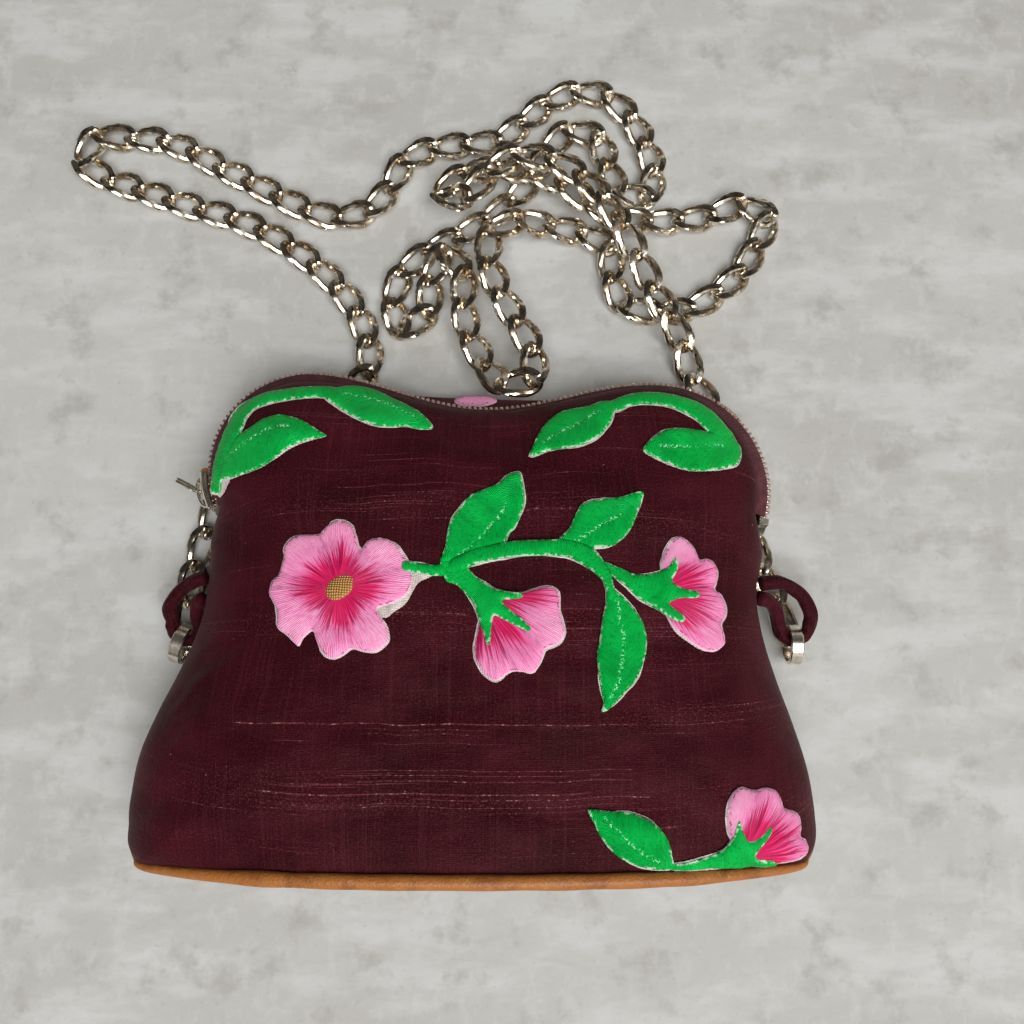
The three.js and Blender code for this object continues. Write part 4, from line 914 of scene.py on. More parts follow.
def patch(outline, base, thick, paint, surface=front_z, side=1, step=1.0, puff=0.0, soft=0.7, root=None):
    """A thin closed piece on a face of heights. The top stands base + thick (1 - e^(-d/soft)) + puff (1 -
    e^(-d/4)) + 0.12 off it, d the distance to the edge, and the underside stands at base. With a root (x,
    y, near, far, height) the top is raised by the height, eased in from near to far off it. paint(plan, d)
    gives the layers."""
    line = resampled(through(outline, 6, True), step * 0.6)
    line = grown(line, EDGE_RAG * waves(line[:, 0], line[:, 1], 1.7, 31))
    n = len(line)
    low, high = line.min(0), line.max(0)
    xs = np.arange(low[0], high[0], step)
    ys = np.arange(low[1], high[1], step * 0.87)
    gx, gy = np.meshgrid(xs, ys)
    gx = gx + (np.arange(len(ys)) % 2)[:, None] * step / 2
    inner = np.column_stack([gx.ravel(), gy.ravel()])
    loop = np.vstack([line, line[:1]])
    inner = inner[to_polyline(inner, loop)[0] > step * 0.45]
    plan = np.vstack([line, inner])
    edges = [(i, (i + 1) % n) for i in range(n)]
    result = delaunay_2d_cdt([Vector(p) for p in plan], edges, [], 1, 1e-5)
    plan = np.array([[v.x, v.y] for v in result[0]])
    tris = np.array([f for f in result[2] if len(f) == 3])
    used = np.unique(tris)
    index = np.full(len(plan), -1)
    index[used] = np.arange(len(used))
    plan, tris = plan[used], index[tris]
    e1, e2 = plan[tris[:, 1]] - plan[tris[:, 0]], plan[tris[:, 2]] - plan[tris[:, 0]]
    turned = (e1[:, 0] * e2[:, 1] - e1[:, 1] * e2[:, 0]) < 0
    tris[turned] = tris[turned][:, ::-1]
    half = np.vstack([tris[:, [0, 1]], tris[:, [1, 2]], tris[:, [2, 0]]])
    forward = {(a, b) for a, b in half.tolist()}
    rim_edges = np.array([(a, b) for a, b in half.tolist() if (b, a) not in forward])
    d = to_polyline(plan, loop)[0]
    lift = base + thick * (1 - np.exp(-d / soft)) + puff * (1 - np.exp(-d / 4.0)) + 0.12
    if root:
        away = np.hypot(plan[:, 0] - root[0], plan[:, 1] - root[1])
        lift = lift + root[4] * ease(np.clip((away - root[2]) / (root[3] - root[2]), 0, 1))
    top = lifted(surface, side, plan, lift)
    bottom = lifted(surface, side, plan, np.full(len(plan), base))
    count = len(plan)
    walls = np.column_stack([rim_edges[:, 0], rim_edges[:, 0] + count, rim_edges[:, 1] + count,
                             rim_edges[:, 1]])
    points = np.vstack([top, bottom])
    faces = facing_out(points, [walls, tris, tris[:, ::-1] + count])
    return points, faces, {k: np.concatenate([v, v]) for k, v in paint(plan, d).items()}


def leaf_paint(rib):
    """Threads that slant away from a rib: thread = s + 0.8 |t|."""
    rib = through(parse(rib), 5, False)

    def paint(plan, d):
        far, _, s = to_polyline(plan, rib)
        mark = np.exp(-(far / 0.42) ** 2) * (far < 2)
        return {"thread": s + 0.8 * far, "along": far + 0 * s, "rim": np.exp(-d / 0.45), "rib": mark}
    return paint


def stem_paint(line):
    """Threads across a stem: thread = arc length."""
    line = through(line, 5, False)

    def paint(plan, d):
        far, side, s = to_polyline(plan, line)
        return {"thread": s, "along": far * side, "rim": np.exp(-d / 0.4), "rib": 0 * s}
    return paint


def calyx_paint(root):
    """Threads across the prongs: thread = distance from the root."""
    root = np.array(root)

    def paint(plan, d):
        away = plan - root
        r = np.hypot(away[:, 0], away[:, 1])
        return {"thread": r, "along": np.arctan2(away[:, 1], away[:, 0]) * 8, "rim": np.exp(-d / 0.4),
                "rib": 0 * r}
    return paint


def petal_paint(root, ray_reach, notches, spread=14.0):
    """Threads that fan from a root: thread = spread times the angle. ray = distance / reach at that angle,
    and groove follows the lines from the root to the notches."""
    root = np.array(root, float)
    angles = np.radians([a for a, _ in ray_reach])
    reaches = np.array([r for _, r in ray_reach], float)

    def paint(plan, d):
        away = plan - root
        r = np.hypot(away[:, 0], away[:, 1])
        a = np.arctan2(away[:, 1], away[:, 0])
        reach = np.interp(a, angles, reaches, period=2 * np.pi)
        groove = np.zeros(len(plan))
        for note in notches:
            line = np.array([root + (np.array(note) - root) * 0.42, note])
            far = to_polyline(plan, line)[0]
            groove = np.maximum(groove, np.exp(-(far / 0.35) ** 2))
        return {"thread": spread * a, "ray": r / reach, "rim": np.exp(-d / 0.5), "groove": groove}
    return paint


def flat_paint(plan, d):
    return {}


def inside(plan, loop):
    """Whether points lie in a closed line, by the number of its crossings to the right of them."""
    a, b = loop, np.roll(loop, -1, 0)
    x, y = plan[:, 0, None], plan[:, 1, None]
    spans = (a[None, :, 1] > y) != (b[None, :, 1] > y)
    rise_y = np.where(b[:, 1] == a[:, 1], 1e-9, b[:, 1] - a[:, 1])
    at = a[None, :, 0] + (y - a[None, :, 1]) / rise_y * (b - a)[None, :, 0]
    return (spans & (x < at)).sum(1) % 2 == 1


def merged(paint, others):
    """The paint without its pale rim where the point lies in one of the other outlines."""
    def painted(plan, d):
        layers = paint(plan, d)
        for loop in others:
            layers["rim"] = layers["rim"] * ~inside(plan, loop)
        return layers
    return painted


def strip(line, widths):
    """The outline of a stem: its line moved to both sides by the splined half widths."""
    line = through(parse(line), 5, False)
    w = through(np.column_stack([widths, widths]), 5, False)[:, 0]
    w = np.interp(np.linspace(0, 1, len(line)), np.linspace(0, 1, len(w)), w)
    t = np.gradient(line, axis=0)
    t /= np.linalg.norm(t, axis=1)[:, None]
    n = np.column_stack([-t[:, 1], t[:, 0]]) * w[:, None]
    return np.vstack([line + n, (line - n)[::-1]])[::4]


def stem(line, widths):
    """A stem's outline and paint."""
    return strip(line, widths), stem_paint(parse(line))


def spray(name, node, greens, pinks=(), golds=(), backs=()):
    """One embroidered spray: green, pink and gold stitching, each on white backing that stands out of it by
    up to 0.4, by noise along the edge."""
    level = 0.35

    def rimmed(outline):
        line = through(outline, 3, True)
        return grown(line, -0.1 + 0.5 * np.clip(0.4 + waves(line[:, 0], line[:, 1], 16, 41), 0, 1))

    backing, green, pink = [], [], []
    loops = [through(entry[0], 6, True) for entry in greens]
    for k, (outline, paint, *root) in enumerate(greens):
        backing.append(patch(rimmed(outline), level, 0.3, flat_paint, step=1.8, soft=0.3))
        paint = merged(paint, loops[:k] + loops[k + 1:])
        green.append(patch(outline, level + 0.35, 0.75, paint, root=root[0] if root else None))
        level += 0.02
    for outline, paint, lift in pinks:
        backing.append(patch(rimmed(outline), 0.25, 0.3, flat_paint, step=1.8, soft=0.3))
        pink.append(patch(outline, 0.5, 0.7, paint, puff=lift))
    for outline in backs:
        backing.append(patch(outline, 0.3, 0.35, flat_paint, step=1.8, soft=0.3))
    for kind, parts, material in (("green", green, GREEN), ("pink", pink, PINK)):
        if parts:
            make_mesh(name + "_" + kind, *joined(parts), slot=kind + "_thread", material=material,
                      replaces=[node], sharp=60)
    for k, (outline, paint) in enumerate(golds):
        make_mesh(name + "_gold_%d" % k, *patch(outline, 1.35, 0.8, paint, step=0.7, puff=0.5),
                  slot="green_thread", material=GOLD, sharp=60)
    make_mesh(name + "_backing", *joined(backing), slot="green_thread", material=BACKING, sharp=60)


FLOWER = parse(
    "-39,23.8 -36.3,22.6 -34.7,20.1 -33.7,17.4 -32.7,15 -31.1,17.4 -28.5,18.3 -25.3,18 -22.3,16.2 -20.2,13.2 "
    "-18.4,10 -17.5,5.9 -18.9,1.8 -22.1,-0.6 -25.3,-1.7 -27.4,-2.5 -26.2,-4.8 -24.2,-7.8 -23.7,-11.4 "
    "-25.1,-13.3 -27.5,-14.8 -30.7,-14.7 -33.8,-13.9 -35.7,-15 -38.2,-16.4 -40.5,-16.4 -42.8,-14.7 "
    "-44.5,-11.6 -45.8,-8.7 -47.5,-9.8 -48.8,-11.5 -49.6,-13 -51.7,-11.5 -53.9,-9.5 -56.5,-7.4 -56.7,-3.9 "
    "-57.6,-0.7 -59.4,2.3 -59.3,5.2 -58.4,7 -57,8.1 -56.2,10.8 -55.5,13.4 -55.6,15.8 -54.2,18.1 -51.8,19.5 "
    "-48.5,19.7 -45.3,20 -43.3,22 -41.3,23.5")
FLOWER_RAYS = [(-180, 13), (-160, 12), (-135, 8), (-110, 11), (-90, 12.5), (-70, 12), (-45, 8.5), (-20, 10.5),
               (0, 12.5), (20, 11.5), (45, 8), (70, 9.5), (90, 12), (110, 10), (135, 10.5), (160, 12.5)]
CALYX_LEFT = parse(
    "-9.8,11.5 -5.5,11.6 -1.8,9.6 0.2,7.4 3,5.4 6.1,3.4 9.9,2.4 13.9,1.8 13.6,0.6 10.4,0.1 8.1,-0.5 11,-3.4 "
    "13.8,-5.4 16.4,-8.3 15.5,-9.1 13.3,-8.3 9.9,-6.3 7.3,-4.8 5.9,-4.8 5.3,-8 5.1,-11.4 4.2,-13.1 3.1,-10.5 "
    "2.2,-7.4 1.1,-3.7 -0.4,-0.5 -2.7,2.4 -5.3,4.7 -8.2,5.9")
BUD_LEFT = parse(
    "5.3,1.2 9.9,2.1 13.9,2.4 16.7,3.2 20.7,4.1 23.3,3.5 24.7,1.8 24.7,-2.8 25.5,-6.2 26,-9.1 24.8,-11.9 "
    "22.8,-13.3 20.3,-14.2 19.4,-17 18,-19.8 16.3,-20.9 13.8,-20.3 11.3,-20.3 9.3,-21.2 7.6,-22.6 6,-22.8 "
    "4,-21.7 2,-19.5 0.6,-16.4 0.3,-13.6 0.8,-10 1.6,-6.3 3,-1.7")
CALYX_RIGHT = parse(
    "37.6,11.2 42.1,9.5 46.5,7.8 50.9,8.1 53.8,8.8 56.3,10.3 57.8,12.4 58.7,12.7 59,10.4 58.3,8.3 57.3,6 "
    "60.8,4 64.1,3.3 65.3,2.4 63.7,1.2 60.7,1.1 57.7,0.4 56.1,-0.8 58.1,-2.8 59.8,-4.2 60.4,-5.3 59.1,-6.2 "
    "56.8,-5.4 54,-3.4 51.1,-1.8 47.7,0.5 43.5,4.5 39.8,7.4")
BUD_RIGHT = parse(
    "54.4,7.6 54.2,11.4 55.2,14.4 56.5,16.8 58,18.6 60.2,19.3 62.2,18.5 64,16.8 65.2,14.5 66,12.8 68.5,13.2 "
    "70.4,12.1 71.6,9.8 71.2,6.9 70.4,3.9 72,3.1 73.2,1.1 73.7,-1.3 73.2,-4 71.7,-6.1 72.4,-9 72.5,-11.6 "
    "71.2,-13.1 68.9,-14.4 65.8,-14.1 63.5,-12.8 61.2,-11.1 58.7,-9.1 56.5,-6.6 54.6,-3.1 53,1.8")
LEAF_UP = parse(
    "-9.5,11.2 -8.4,16.2 -7.9,20.7 -6.5,24.4 -4.2,27.7 -2.8,29.9 -0.8,31.8 2.7,33.4 6.9,35.3 9.8,37.8 "
    "13.1,38.8 14,36.2 14.8,29.9 13.6,25.3 12.2,21.6 10.1,19.2 8.4,16.8 1.8,13.5 -4,11.8")
LEAF_TOP = parse(
    "24.9,17.7 27.3,20.7 29.4,24.7 31.2,28 33.9,29.6 38.3,30.2 42.8,30.9 46.4,32.2 49.7,32.5 48.9,29.1 "
    "47.6,25.4 45.4,20.8 43,18.1 40,16 35.9,15.4 32.4,15 29.2,15.3")
LEAF_DOWN = parse(
    "38.3,4.5 37.9,0.1 36.9,-4.2 35.6,-11.3 34.9,-15.6 35.1,-21.2 35.8,-25.3 36.3,-28.9 35.7,-31.3 "
    "37.6,-30.8 40.2,-28.6 42.5,-26.1 45.7,-22.8 47.5,-19.2 48.8,-15.5 49.3,-11.3 48.6,-7 46.7,-3.3 43.9,0.2 "
    "40.8,3")
STEM_MAIN = ("-20.7,9.7 -15.5,9.4 -9.7,8.8 -5.4,10.3 -1.1,12.3 4.6,14.1 10.4,15 16.2,15.3 22,15.3 27.8,15 "
             "32.1,13.3 35.2,10.6 38,7.1 39.1,3 39.6,0.1")
WHITE_SIDE = parse(
    "-20,10.6 -15.4,9 -11.8,8.2 -12.6,6.9 -15.6,5.4 -17.2,3 -19.2,-0.9 -22.4,-3.2 -24.2,-4.9 -26.5,-5 "
    "-27.6,-2.6 -25,-0.4 -21,1.6 -19.5,5")


def oval(cx, cy, rx, ry, turn, count=14):
    """An ellipse turned by an angle."""
    a = circle(count)
    c, s = math.cos(math.radians(turn)), math.sin(math.radians(turn))
    x, y = rx * np.cos(a), ry * np.sin(a)
    return np.column_stack([cx + c * x - s * y, cy + s * x + c * y])


BUD_RAYS_LEFT = [(-120, 9), (-95, 19), (-75, 18), (-50, 20), (-25, 13), (-8, 21), (5, 20), (25, 8)]
BUD_RAYS_RIGHT = [(-75, 6), (-50, 15), (-25, 17), (-8, 15), (15, 15), (30, 15), (50, 9), (70, 4)]
spray(
    "spray_middle", "spray_centre",
    [
        (*stem(STEM_MAIN, [1.4, 1.5, 1.7, 2.1, 2.2, 2.3, 2.4, 2.3, 2.3, 2.5, 2.7, 2.4, 1.6, 1.2, 1.0]),
         (-12, 9, 4, 7, 0.7)),
        (CALYX_LEFT, calyx_paint((-8, 10)), (-8, 10, 11, 14, 0.8)),
        (CALYX_RIGHT, calyx_paint((40, 9)), (40, 9, 13, 16, 0.8)),
        (LEAF_UP, leaf_paint("-4.6,12.9 1.7,18.3 4.6,21.9 7.5,25 9.8,28.7")),
        (LEAF_TOP, leaf_paint("28.4,16.5 33.7,19.8 38.1,22.6 43.2,25.3")),
        (LEAF_DOWN, leaf_paint("41,0.1 41.7,-5.6 42.4,-11.3 41.9,-17 40.6,-22.5 38.2,-28.1")),
    ],
    [
        (FLOWER,
         petal_paint((-38, 3.6), FLOWER_RAYS, [(-32.7, 15), (-24.2, -4.8), (-33.8, -13.9), (-45.8, -8.7),
                                                         (-45.3, 20), (-57, 8.1), (-19.5, 9.5)]), 0.5),
        (BUD_LEFT, petal_paint((1.3, 3), BUD_RAYS_LEFT, [(20.3, -14.2), (12.5, -20.3)], 22.0), 0.4),
        (BUD_RIGHT, petal_paint((52.2, 3.2), BUD_RAYS_RIGHT, [(66, 12.8), (70.4, 3.9), (71.7, -6.1)], 22.0),
         0.4),
    ],
    [(oval(-38, 3.6, 4.6, 3.6, 35), stem_paint(np.array([[-41, 7.0], [-35, 0.2]])))],
    [WHITE_SIDE])

TL_STEM = ("-80,35.2 -79.6,39.7 -78.6,44.4 -77,49.6 -75,55.4 -73,60.8 -68.9,63.9 "
           "-62.5,65.0 -54.7,66 -47,66.5 -43,66")
TL_LEAF_LOW = parse(
    "-77.7,39.2 -77.8,44.6 -75.9,48.2 -73.5,51.8 -69.1,54.4 -65.5,56.9 -61.5,58 -58.3,57.8 -54.1,56.3 "
    "-50.8,54.5 -47.6,52.4 -45.3,50.7 -49.2,49.4 -53.4,48.2 -57.2,46.1 -61.6,42.4 -65.2,40.4 -71,39")
TL_LEAF_TOP = parse(
    "-47.6,64.9 -45.5,67.4 -41.2,69 -36.2,69.3 -32,67.9 -27.1,65.1 -22.5,62.4 -17.3,59 -13.1,53.8 -16.9,52.9 "
    "-21.5,53.8 -26,53.7 -30.5,54.2 -35.8,56.2 -39.9,58.7 -43.6,61.5")
spray(
    "spray_upper_left", "spray_top_left",
    [
        stem(TL_STEM, [1.9, 2.4, 2.7, 3.2, 3.4, 3.1, 2.6, 2.4, 2.3, 2.1, 1.6]),
        (TL_LEAF_LOW, leaf_paint("-75.6,44.9 -71.7,48 -67.1,50.5 -61.9,52.9 -56.3,53.6")),
        (TL_LEAF_TOP, leaf_paint("-42.2,65.4 -37.5,64.5 -31.3,62.9 -25,60.5 -18.7,56.6")),
    ],
    backs=[parse("-80,37.5 -76.5,38.5 -74.5,38.2 -75.5,36.8 -77,35 -79.5,34")])

TR_STEM = ("41.7,60.5 45.9,62.8 50.6,64 56.2,64 61.4,63.1 66,61.5 69.7,59.5 72.8,56.2 "
           "75,53.3 77.2,50.8 78.6,47.5")
TR_LEAF_TOP = parse(
    "16.4,44.3 17.6,48.1 19.5,52.3 22.6,56.6 26.4,59.6 30.4,60.6 35.1,61.5 38.8,63 42.5,62.4 42.2,58.6 "
    "40.7,54.6 37.5,50.5 34.4,48.5 29.9,46.8 25.4,46.2 21.8,45.6 18.8,44.6")
TR_LEAF_LOW = parse(
    "50.3,45.9 51.9,48.6 54.5,51 57.4,52.8 61.5,53.6 65.9,53.5 69.6,53.1 73.5,53.1 77.3,52.1 80.5,50.4 "
    "81.2,47.1 79.7,43.2 76.3,41.6 72.1,40.3 67.3,39.7 63.6,39.8 60,41 56.8,42.5 53.5,44")
spray(
    "spray_upper_right", "spray_top_right",
    [
        stem(TR_STEM, [1.8, 2.1, 2.3, 2.4, 2.5, 2.9, 3.3, 3.5, 3.3, 2.9, 1.8]),
        (TR_LEAF_TOP, leaf_paint("20.9,48.3 25.5,51.4 31.7,54.8 38,59.1")),
        (TR_LEAF_LOW, leaf_paint("55.5,47.4 61.7,47.6 67.9,47.9 74.9,48.1")),
    ])

BR_LEAF = parse(
    "31.5,-57.4 34.8,-57.6 38.8,-57.9 43.5,-58.4 47.8,-60 51,-62.4 53.1,-65.3 53.9,-67.9 54.6,-71.5 "
    "55.2,-72.6 53.1,-73.2 49.5,-72.8 45.3,-72 41.3,-70.6 37.3,-67.7 34.7,-64.1 32.8,-60.5")
BR_CALYX = parse(
    "54.2,-71.6 59.1,-70.9 63.3,-69.9 66.9,-68.7 69.5,-66.8 71,-64.6 71.9,-62.2 72.8,-60 73.6,-62.4 74.7,-65 "
    "75.8,-65.9 78.2,-65 80.2,-63.4 82.1,-62.1 82.3,-63.7 80.8,-66 78.5,-68.2 77.4,-69.9 79.9,-70.7 83,-71.3 "
    "83.9,-72 81.5,-72.5 77.1,-72.9 72.9,-73.1 67.7,-73.2 62,-73.2 57.8,-73.3 54.4,-73.3")
BR_BUD = parse(
    "71.8,-68.2 70.4,-65.5 69.9,-62.4 69.7,-58.9 70.4,-55.5 71.7,-53.2 74.2,-51.6 76.5,-52.2 78.6,-52.5 "
    "81.5,-52 84.3,-52.6 86,-54.6 87,-57.6 90,-58.5 92,-60.2 92.3,-63.2 91.8,-65.3 93.6,-66.4 94.6,-68.6 "
    "93.9,-70.4 91.8,-71.2 88.1,-72 84.7,-72.3 80.2,-72.6 75,-71.8")
spray(
    "spray_lower_right", "spray_bottom_right",
    [
        (BR_LEAF, leaf_paint("36.1,-60 40.1,-63.6 44.9,-67.8 50.3,-71")),
        (BR_CALYX, calyx_paint((60, -72)), (60, -72, 10, 13, 0.7)),
    ],
    [(BR_BUD, petal_paint((73.9, -70.5), [(-40, 3), (-5, 15), (25, 16), (50, 14), (70, 14), (100, 5)],
                          [(87, -57.6), (91.8, -65.3), (78.6, -52.5)], 20.0), 0.4)])


def back_flower():
    """A small six-petalled flower at the top of the back panel, r = 1 less 0.14 at each notch, and the petal
    that folds over the panel's edge and shows in the dip."""
    a = circle(18) + 0.5
    r = 1 - 0.14 * (np.arange(18) % 3 == 0)
    outline = np.column_stack([-1 + 9 * r * np.cos(a), 64.5 + 8 * r * np.sin(a)])
    rays = [(d, 3.5) for d in range(-180, 180, 60)]
    paint = petal_paint((-1, 64.5), rays, [outline[k] for k in range(0, 18, 3)])
    parts = [patch(outline, 0.4, 0.7, paint, surface=back_z, side=-1, puff=0.3)]
    fold = np.array([(-8.2, 70.2), (-6.8, 69), (-4.6, 68.3), (-2, 68.4), (0.4, 68.1), (2.8, 68.6), (5, 69.4),
                     (6, 70.4),
                     (5.2, 71.6), (2.4, 72.4), (-1, 72.6), (-4.6, 72.4), (-7.4, 71.6)])

    def lip_z(x, y):
        return 12.9 + 0.35 * (71.4 - y)

    fold_paint = petal_paint((-1, 60), rays, [(0.4, 68.1), (-4.6, 68.3)])
    parts.append(patch(fold, 0.25, 0.8, fold_paint, surface=lip_z, puff=0.3))
    make_mesh("small_flower_back", *joined(parts), slot="pink_thread", replaces=["flower_back"],
              material=PINK,
              sharp=60)


back_flower()

# Zip
ZIP_Z = 19.0
ZIP_ROWS = RIM[:ZIP_COUNT]


def zip_tapes():
    """Each tape: a bowed strip from the panel's rim to the teeth, 0.7 thick."""
    for name, sign, column in (("front", 1, 4), ("back", -1, 5)):
        t = np.linspace(0, 1, 7)
        rim_out = -ZIP_ROWS[:, column] - 0.1
        start, end = 6.6, 2.7
        outer, inner = [], []
        for share in t:
            out = rim_out + (-0.35 - rim_out) * share ** 0.8
            z = ZIP_Z + sign * (start + (end - start) * share)
            outer.append(offset(ZIP_ROWS, out, z))
            inner.append(offset(ZIP_ROWS, out - 0.7, z - sign * 0.25))
        make_mesh("tape_" + name, *swept(np.stack(outer + inner[::-1], 1)), slot="zip_tape",
                  replaces=["zip_tape_" + name], material=TAPE, sharp=60)
        seam = offset(ZIP_ROWS, rim_out * 0.55 - 0.1, ZIP_Z + sign * 4.9)
        make_mesh("tape_stitches_" + name, *stitches(seam, 1.7, 0.8, 0.16), slot="zip_tape",
                  material=DARK_SEWING)


TOOTH_PITCH = 1.75
TOOTH_HALF = np.array([0.66, 1.5, 1.05])


def zip_teeth():
    """Teeth 1.75 apart on each tape, the two rows half a pitch out of step. Each is a block of half sizes
    0.66, 1.5 and 1.05 rounded by the power 0.5, a quarter lower on its outer side."""
    path = offset(ZIP_ROWS, -0.5, ZIP_Z)
    normal = np.column_stack([ZIP_ROWS[:, 6], ZIP_ROWS[:, 7], np.zeros(len(ZIP_ROWS))])
    s = arc_length(path)
    lat = np.linspace(-math.pi / 2, math.pi / 2, 6)
    lon = circle(8)
    level = power(np.cos(lat), 0.5)[:, None]
    shape = np.stack([level * power(np.cos(lon), 0.5), level * power(np.sin(lon), 0.5),
                      power(np.sin(lat), 0.5)[:, None] + 0 * lon], -1)
    for name, sign, shift in (("front", 1, 0.0), ("back", -1, TOOTH_PITCH / 2)):
        at = np.arange(0.9 + shift, s[-1] - 0.9, TOOTH_PITCH)
        where = columns_at(at, s, path)
        out = columns_at(at, s, normal)
        out /= np.linalg.norm(out, axis=1)[:, None]
        along = np.cross(out, UP)
        local = shape * TOOTH_HALF
        local[..., 2] = local[..., 2] * (1 - 0.25 * (local[..., 1] > 0.4)) + 1.42
        rows = (where[:, None, None] + local[None, ..., 0, None] * along[:, None, None]
                + local[None, ..., 1, None] * out[:, None, None]
                + local[None, ..., 2, None] * np.array([0, 0, sign])[None, None, None])
        make_mesh("teeth_" + name, *skins(rows), slot="zip_metal", replaces=["zip_teeth_" + name],
                  material=ZIP_METAL)


zip_tapes()
zip_teeth()

SLIDER_DEG = 194.0


def corner_sweep(section, start, end, steps):
    """Rows of a section of (outward distance, height) turned round the left corner's axis between two
    angles."""
    a = np.radians(np.linspace(start, end, steps))
    section = np.asarray(section, float)
    r = LEFT_RADIUS + section[None, :, 0]
    x, y = LEFT_CORNER[0] + r * np.cos(a)[:, None], LEFT_CORNER[1] + r * np.sin(a)[:, None]
    return np.stack([x, y, ZIP_Z + np.broadcast_to(section[None, :, 1], x.shape)], -1)


def rounded_rect(o0, o1, z0, z1, r):
    """A rectangle with its corners cut at 45 degrees."""
    return [(o0 + r, z0), (o1 - r, z0), (o1, z0 + r), (o1, z1 - r), (o1 - r, z1), (o0 + r, z1), (o0, z1 - r),
            (o0, z0 + r)]


def flange(side):
    """A lip of the slider: half an ellipse of half axes 1.0 and 0.9 over a flat."""
    a = np.radians(np.linspace(180, 0, 9))
    bow = [(1.3 + 1.0 * math.cos(t), side * (3.1 + 0.9 * math.sin(t))) for t in a]
    return bow + [(2.3, side * 2.95), (0.3, side * 2.95)]


def slider():
    """Slider: a crowned top plate with flanges round the teeth, an under plate and a hooped bridge."""
    lo, hi = SLIDER_DEG - 10, SLIDER_DEG + 10
    parts = [
        corner_sweep(rounded_rect(1.5, 2.7, -4.0, 4.0, 0.5), lo, hi, 9),
        corner_sweep(flange(1), lo, hi, 13),
        corner_sweep(flange(-1), lo, hi, 13),
        corner_sweep(rounded_rect(-3.6, -2.5, -2.4, 2.4, 0.3), lo + 1, hi - 1, 9),
    ]
    a = np.radians(np.linspace(lo + 1.5, hi - 1.5, 15))
    t = np.linspace(-1, 1, 15)
    rise_out = 2.3 + 2.6 * np.power(np.clip(1 - np.abs(t) ** 3, 0, 1), 0.5)
    path = np.column_stack([LEFT_CORNER[0] + (LEFT_RADIUS + rise_out) * np.cos(a),
                            LEFT_CORNER[1] + (LEFT_RADIUS + rise_out) * np.sin(a),
                            np.full(15, ZIP_Z)])
    parts.append(tube_rows(path, 0.62, 10, 1.6))
    make_mesh("slider_body", *skins(parts), body="slider", slot="nickel", replaces=["zip_slider"],
              material=FITTING_METAL, sharp=35)


def flat_piece(outline, hole, thick, bevel, groove=0.05):
    """A flat plate from an outline and a hole, as closed loops of equal length swept through its thickness:
    outer wall with a groove round it, top, hole wall, underside, each edge cut by the bevel."""
    outer = resampled(through(outline, 6, True), 0.35)
    n = len(outer)
    inner = resampled(through(hole, 6, True), 0.05)
    middle = inner.mean(0)
    angle = lambda p: np.arctan2(p[:, 1] - middle[1], p[:, 0] - middle[0])
    order = np.argsort(angle(inner))
    reach = np.hypot(*(inner - middle).T)
    asked = angle(outer)
    r = np.interp(asked, angle(inner)[order], reach[order], period=2 * np.pi)
    inner = middle + r[:, None] * np.column_stack([np.cos(asked), np.sin(asked)])
    h = thick / 2
    away = (outer - middle) / np.linalg.norm(outer - middle, axis=1)[:, None]
    rings = [(outer, -h + bevel), (outer, -groove), (outer - groove * away, 0), (outer, groove),
             (outer, h - bevel), (outer - bevel * away, h), (inner, h), (inner, -h),
             (outer - bevel * away, -h)]
    rows = np.stack([np.column_stack([p, np.full(n, z)]) for p, z in rings], 0)
    points = rows.reshape(-1, 3)
    return points, facing_out(points, [grid(len(rings), n, wrap_rows=True, wrap_cols=True)])


PULL_AT = np.array([-88.0625, 37.9319, ZIP_Z])
PULL_DEG = 153


def turned(points, degrees, centre):
    """Points turned about z and moved to a centre."""
    a = math.radians(degrees)
    x, y, z = points.T
    return np.column_stack([centre[0] + x * math.cos(a) - y * math.sin(a),
                            centre[1] + x * math.sin(a) + y * math.cos(a), centre[2] + z])


def pull():
    """The tongue hanging from the slider's bridge, a rounded plate with an eye, standing in the slider's
    plane. Its bar is 0.66 as thick as the rest, so that it turns freely under the bridge."""
    outline = np.array([(-0.45, -2), (0.6, -2.4), (3, -2.5), (6, -2.4), (8.6, -2.0), (9.6, -1.0), (9.8, 0),
                        (9.6, 1.0),
                        (8.6, 2.0), (6, 2.4), (3, 2.5), (0.6, 2.4), (-0.45, 2)])
    hole = np.array([(0.4, -1.5), (2.4, -1.7), (4.6, -1.5), (5.2, 0), (4.6, 1.5), (2.4, 1.7), (0.4, 1.5)])
    points, faces = flat_piece(outline, hole, 1.7, 0.3, 0.3)
    points[:, 2] *= np.interp(points[:, 0], (0.8, 3), (0.66, 1))
    points = turned(np.column_stack([points[:, 0], -points[:, 2], points[:, 1]]), PULL_DEG, PULL_AT)
    make_mesh("pull_tongue", points, facing_out(points, faces), body="pull", slot="nickel",
              replaces=["zip_pull"], material=FITTING_METAL, sharp=35)


def end_tab():
    """The leather tab: a plate with rounded ends and a punched hole."""
    outline = np.array([(0, -2.2), (2.5, -2.25), (5.5, -2.25), (7.4, -1.9), (8.0, 0), (7.4, 1.9), (5.5, 2.25),
                        (2.5, 2.25),
                        (0, 2.2)])
    hole = oval(5.6, 0, 0.75, 0.75, 0, 10)
    points, faces = flat_piece(outline, hole, 1.6, 0.3)
    points = turned(points + np.array([LEFT_RADIUS - 2.3, 0, 0]), SLIDER_DEG - 13, (*LEFT_CORNER, 12))
    make_mesh("leather_end_tab", points, facing_out(points, faces), slot="tan_leather",
              replaces=["zip_end_tab"],
              material=TAN, sharp=40)


slider()
pull()
end_tab()
dressed(("zip_stop_left_front", "zip_stop_left_back", "zip_stop_right"), FITTING_METAL)


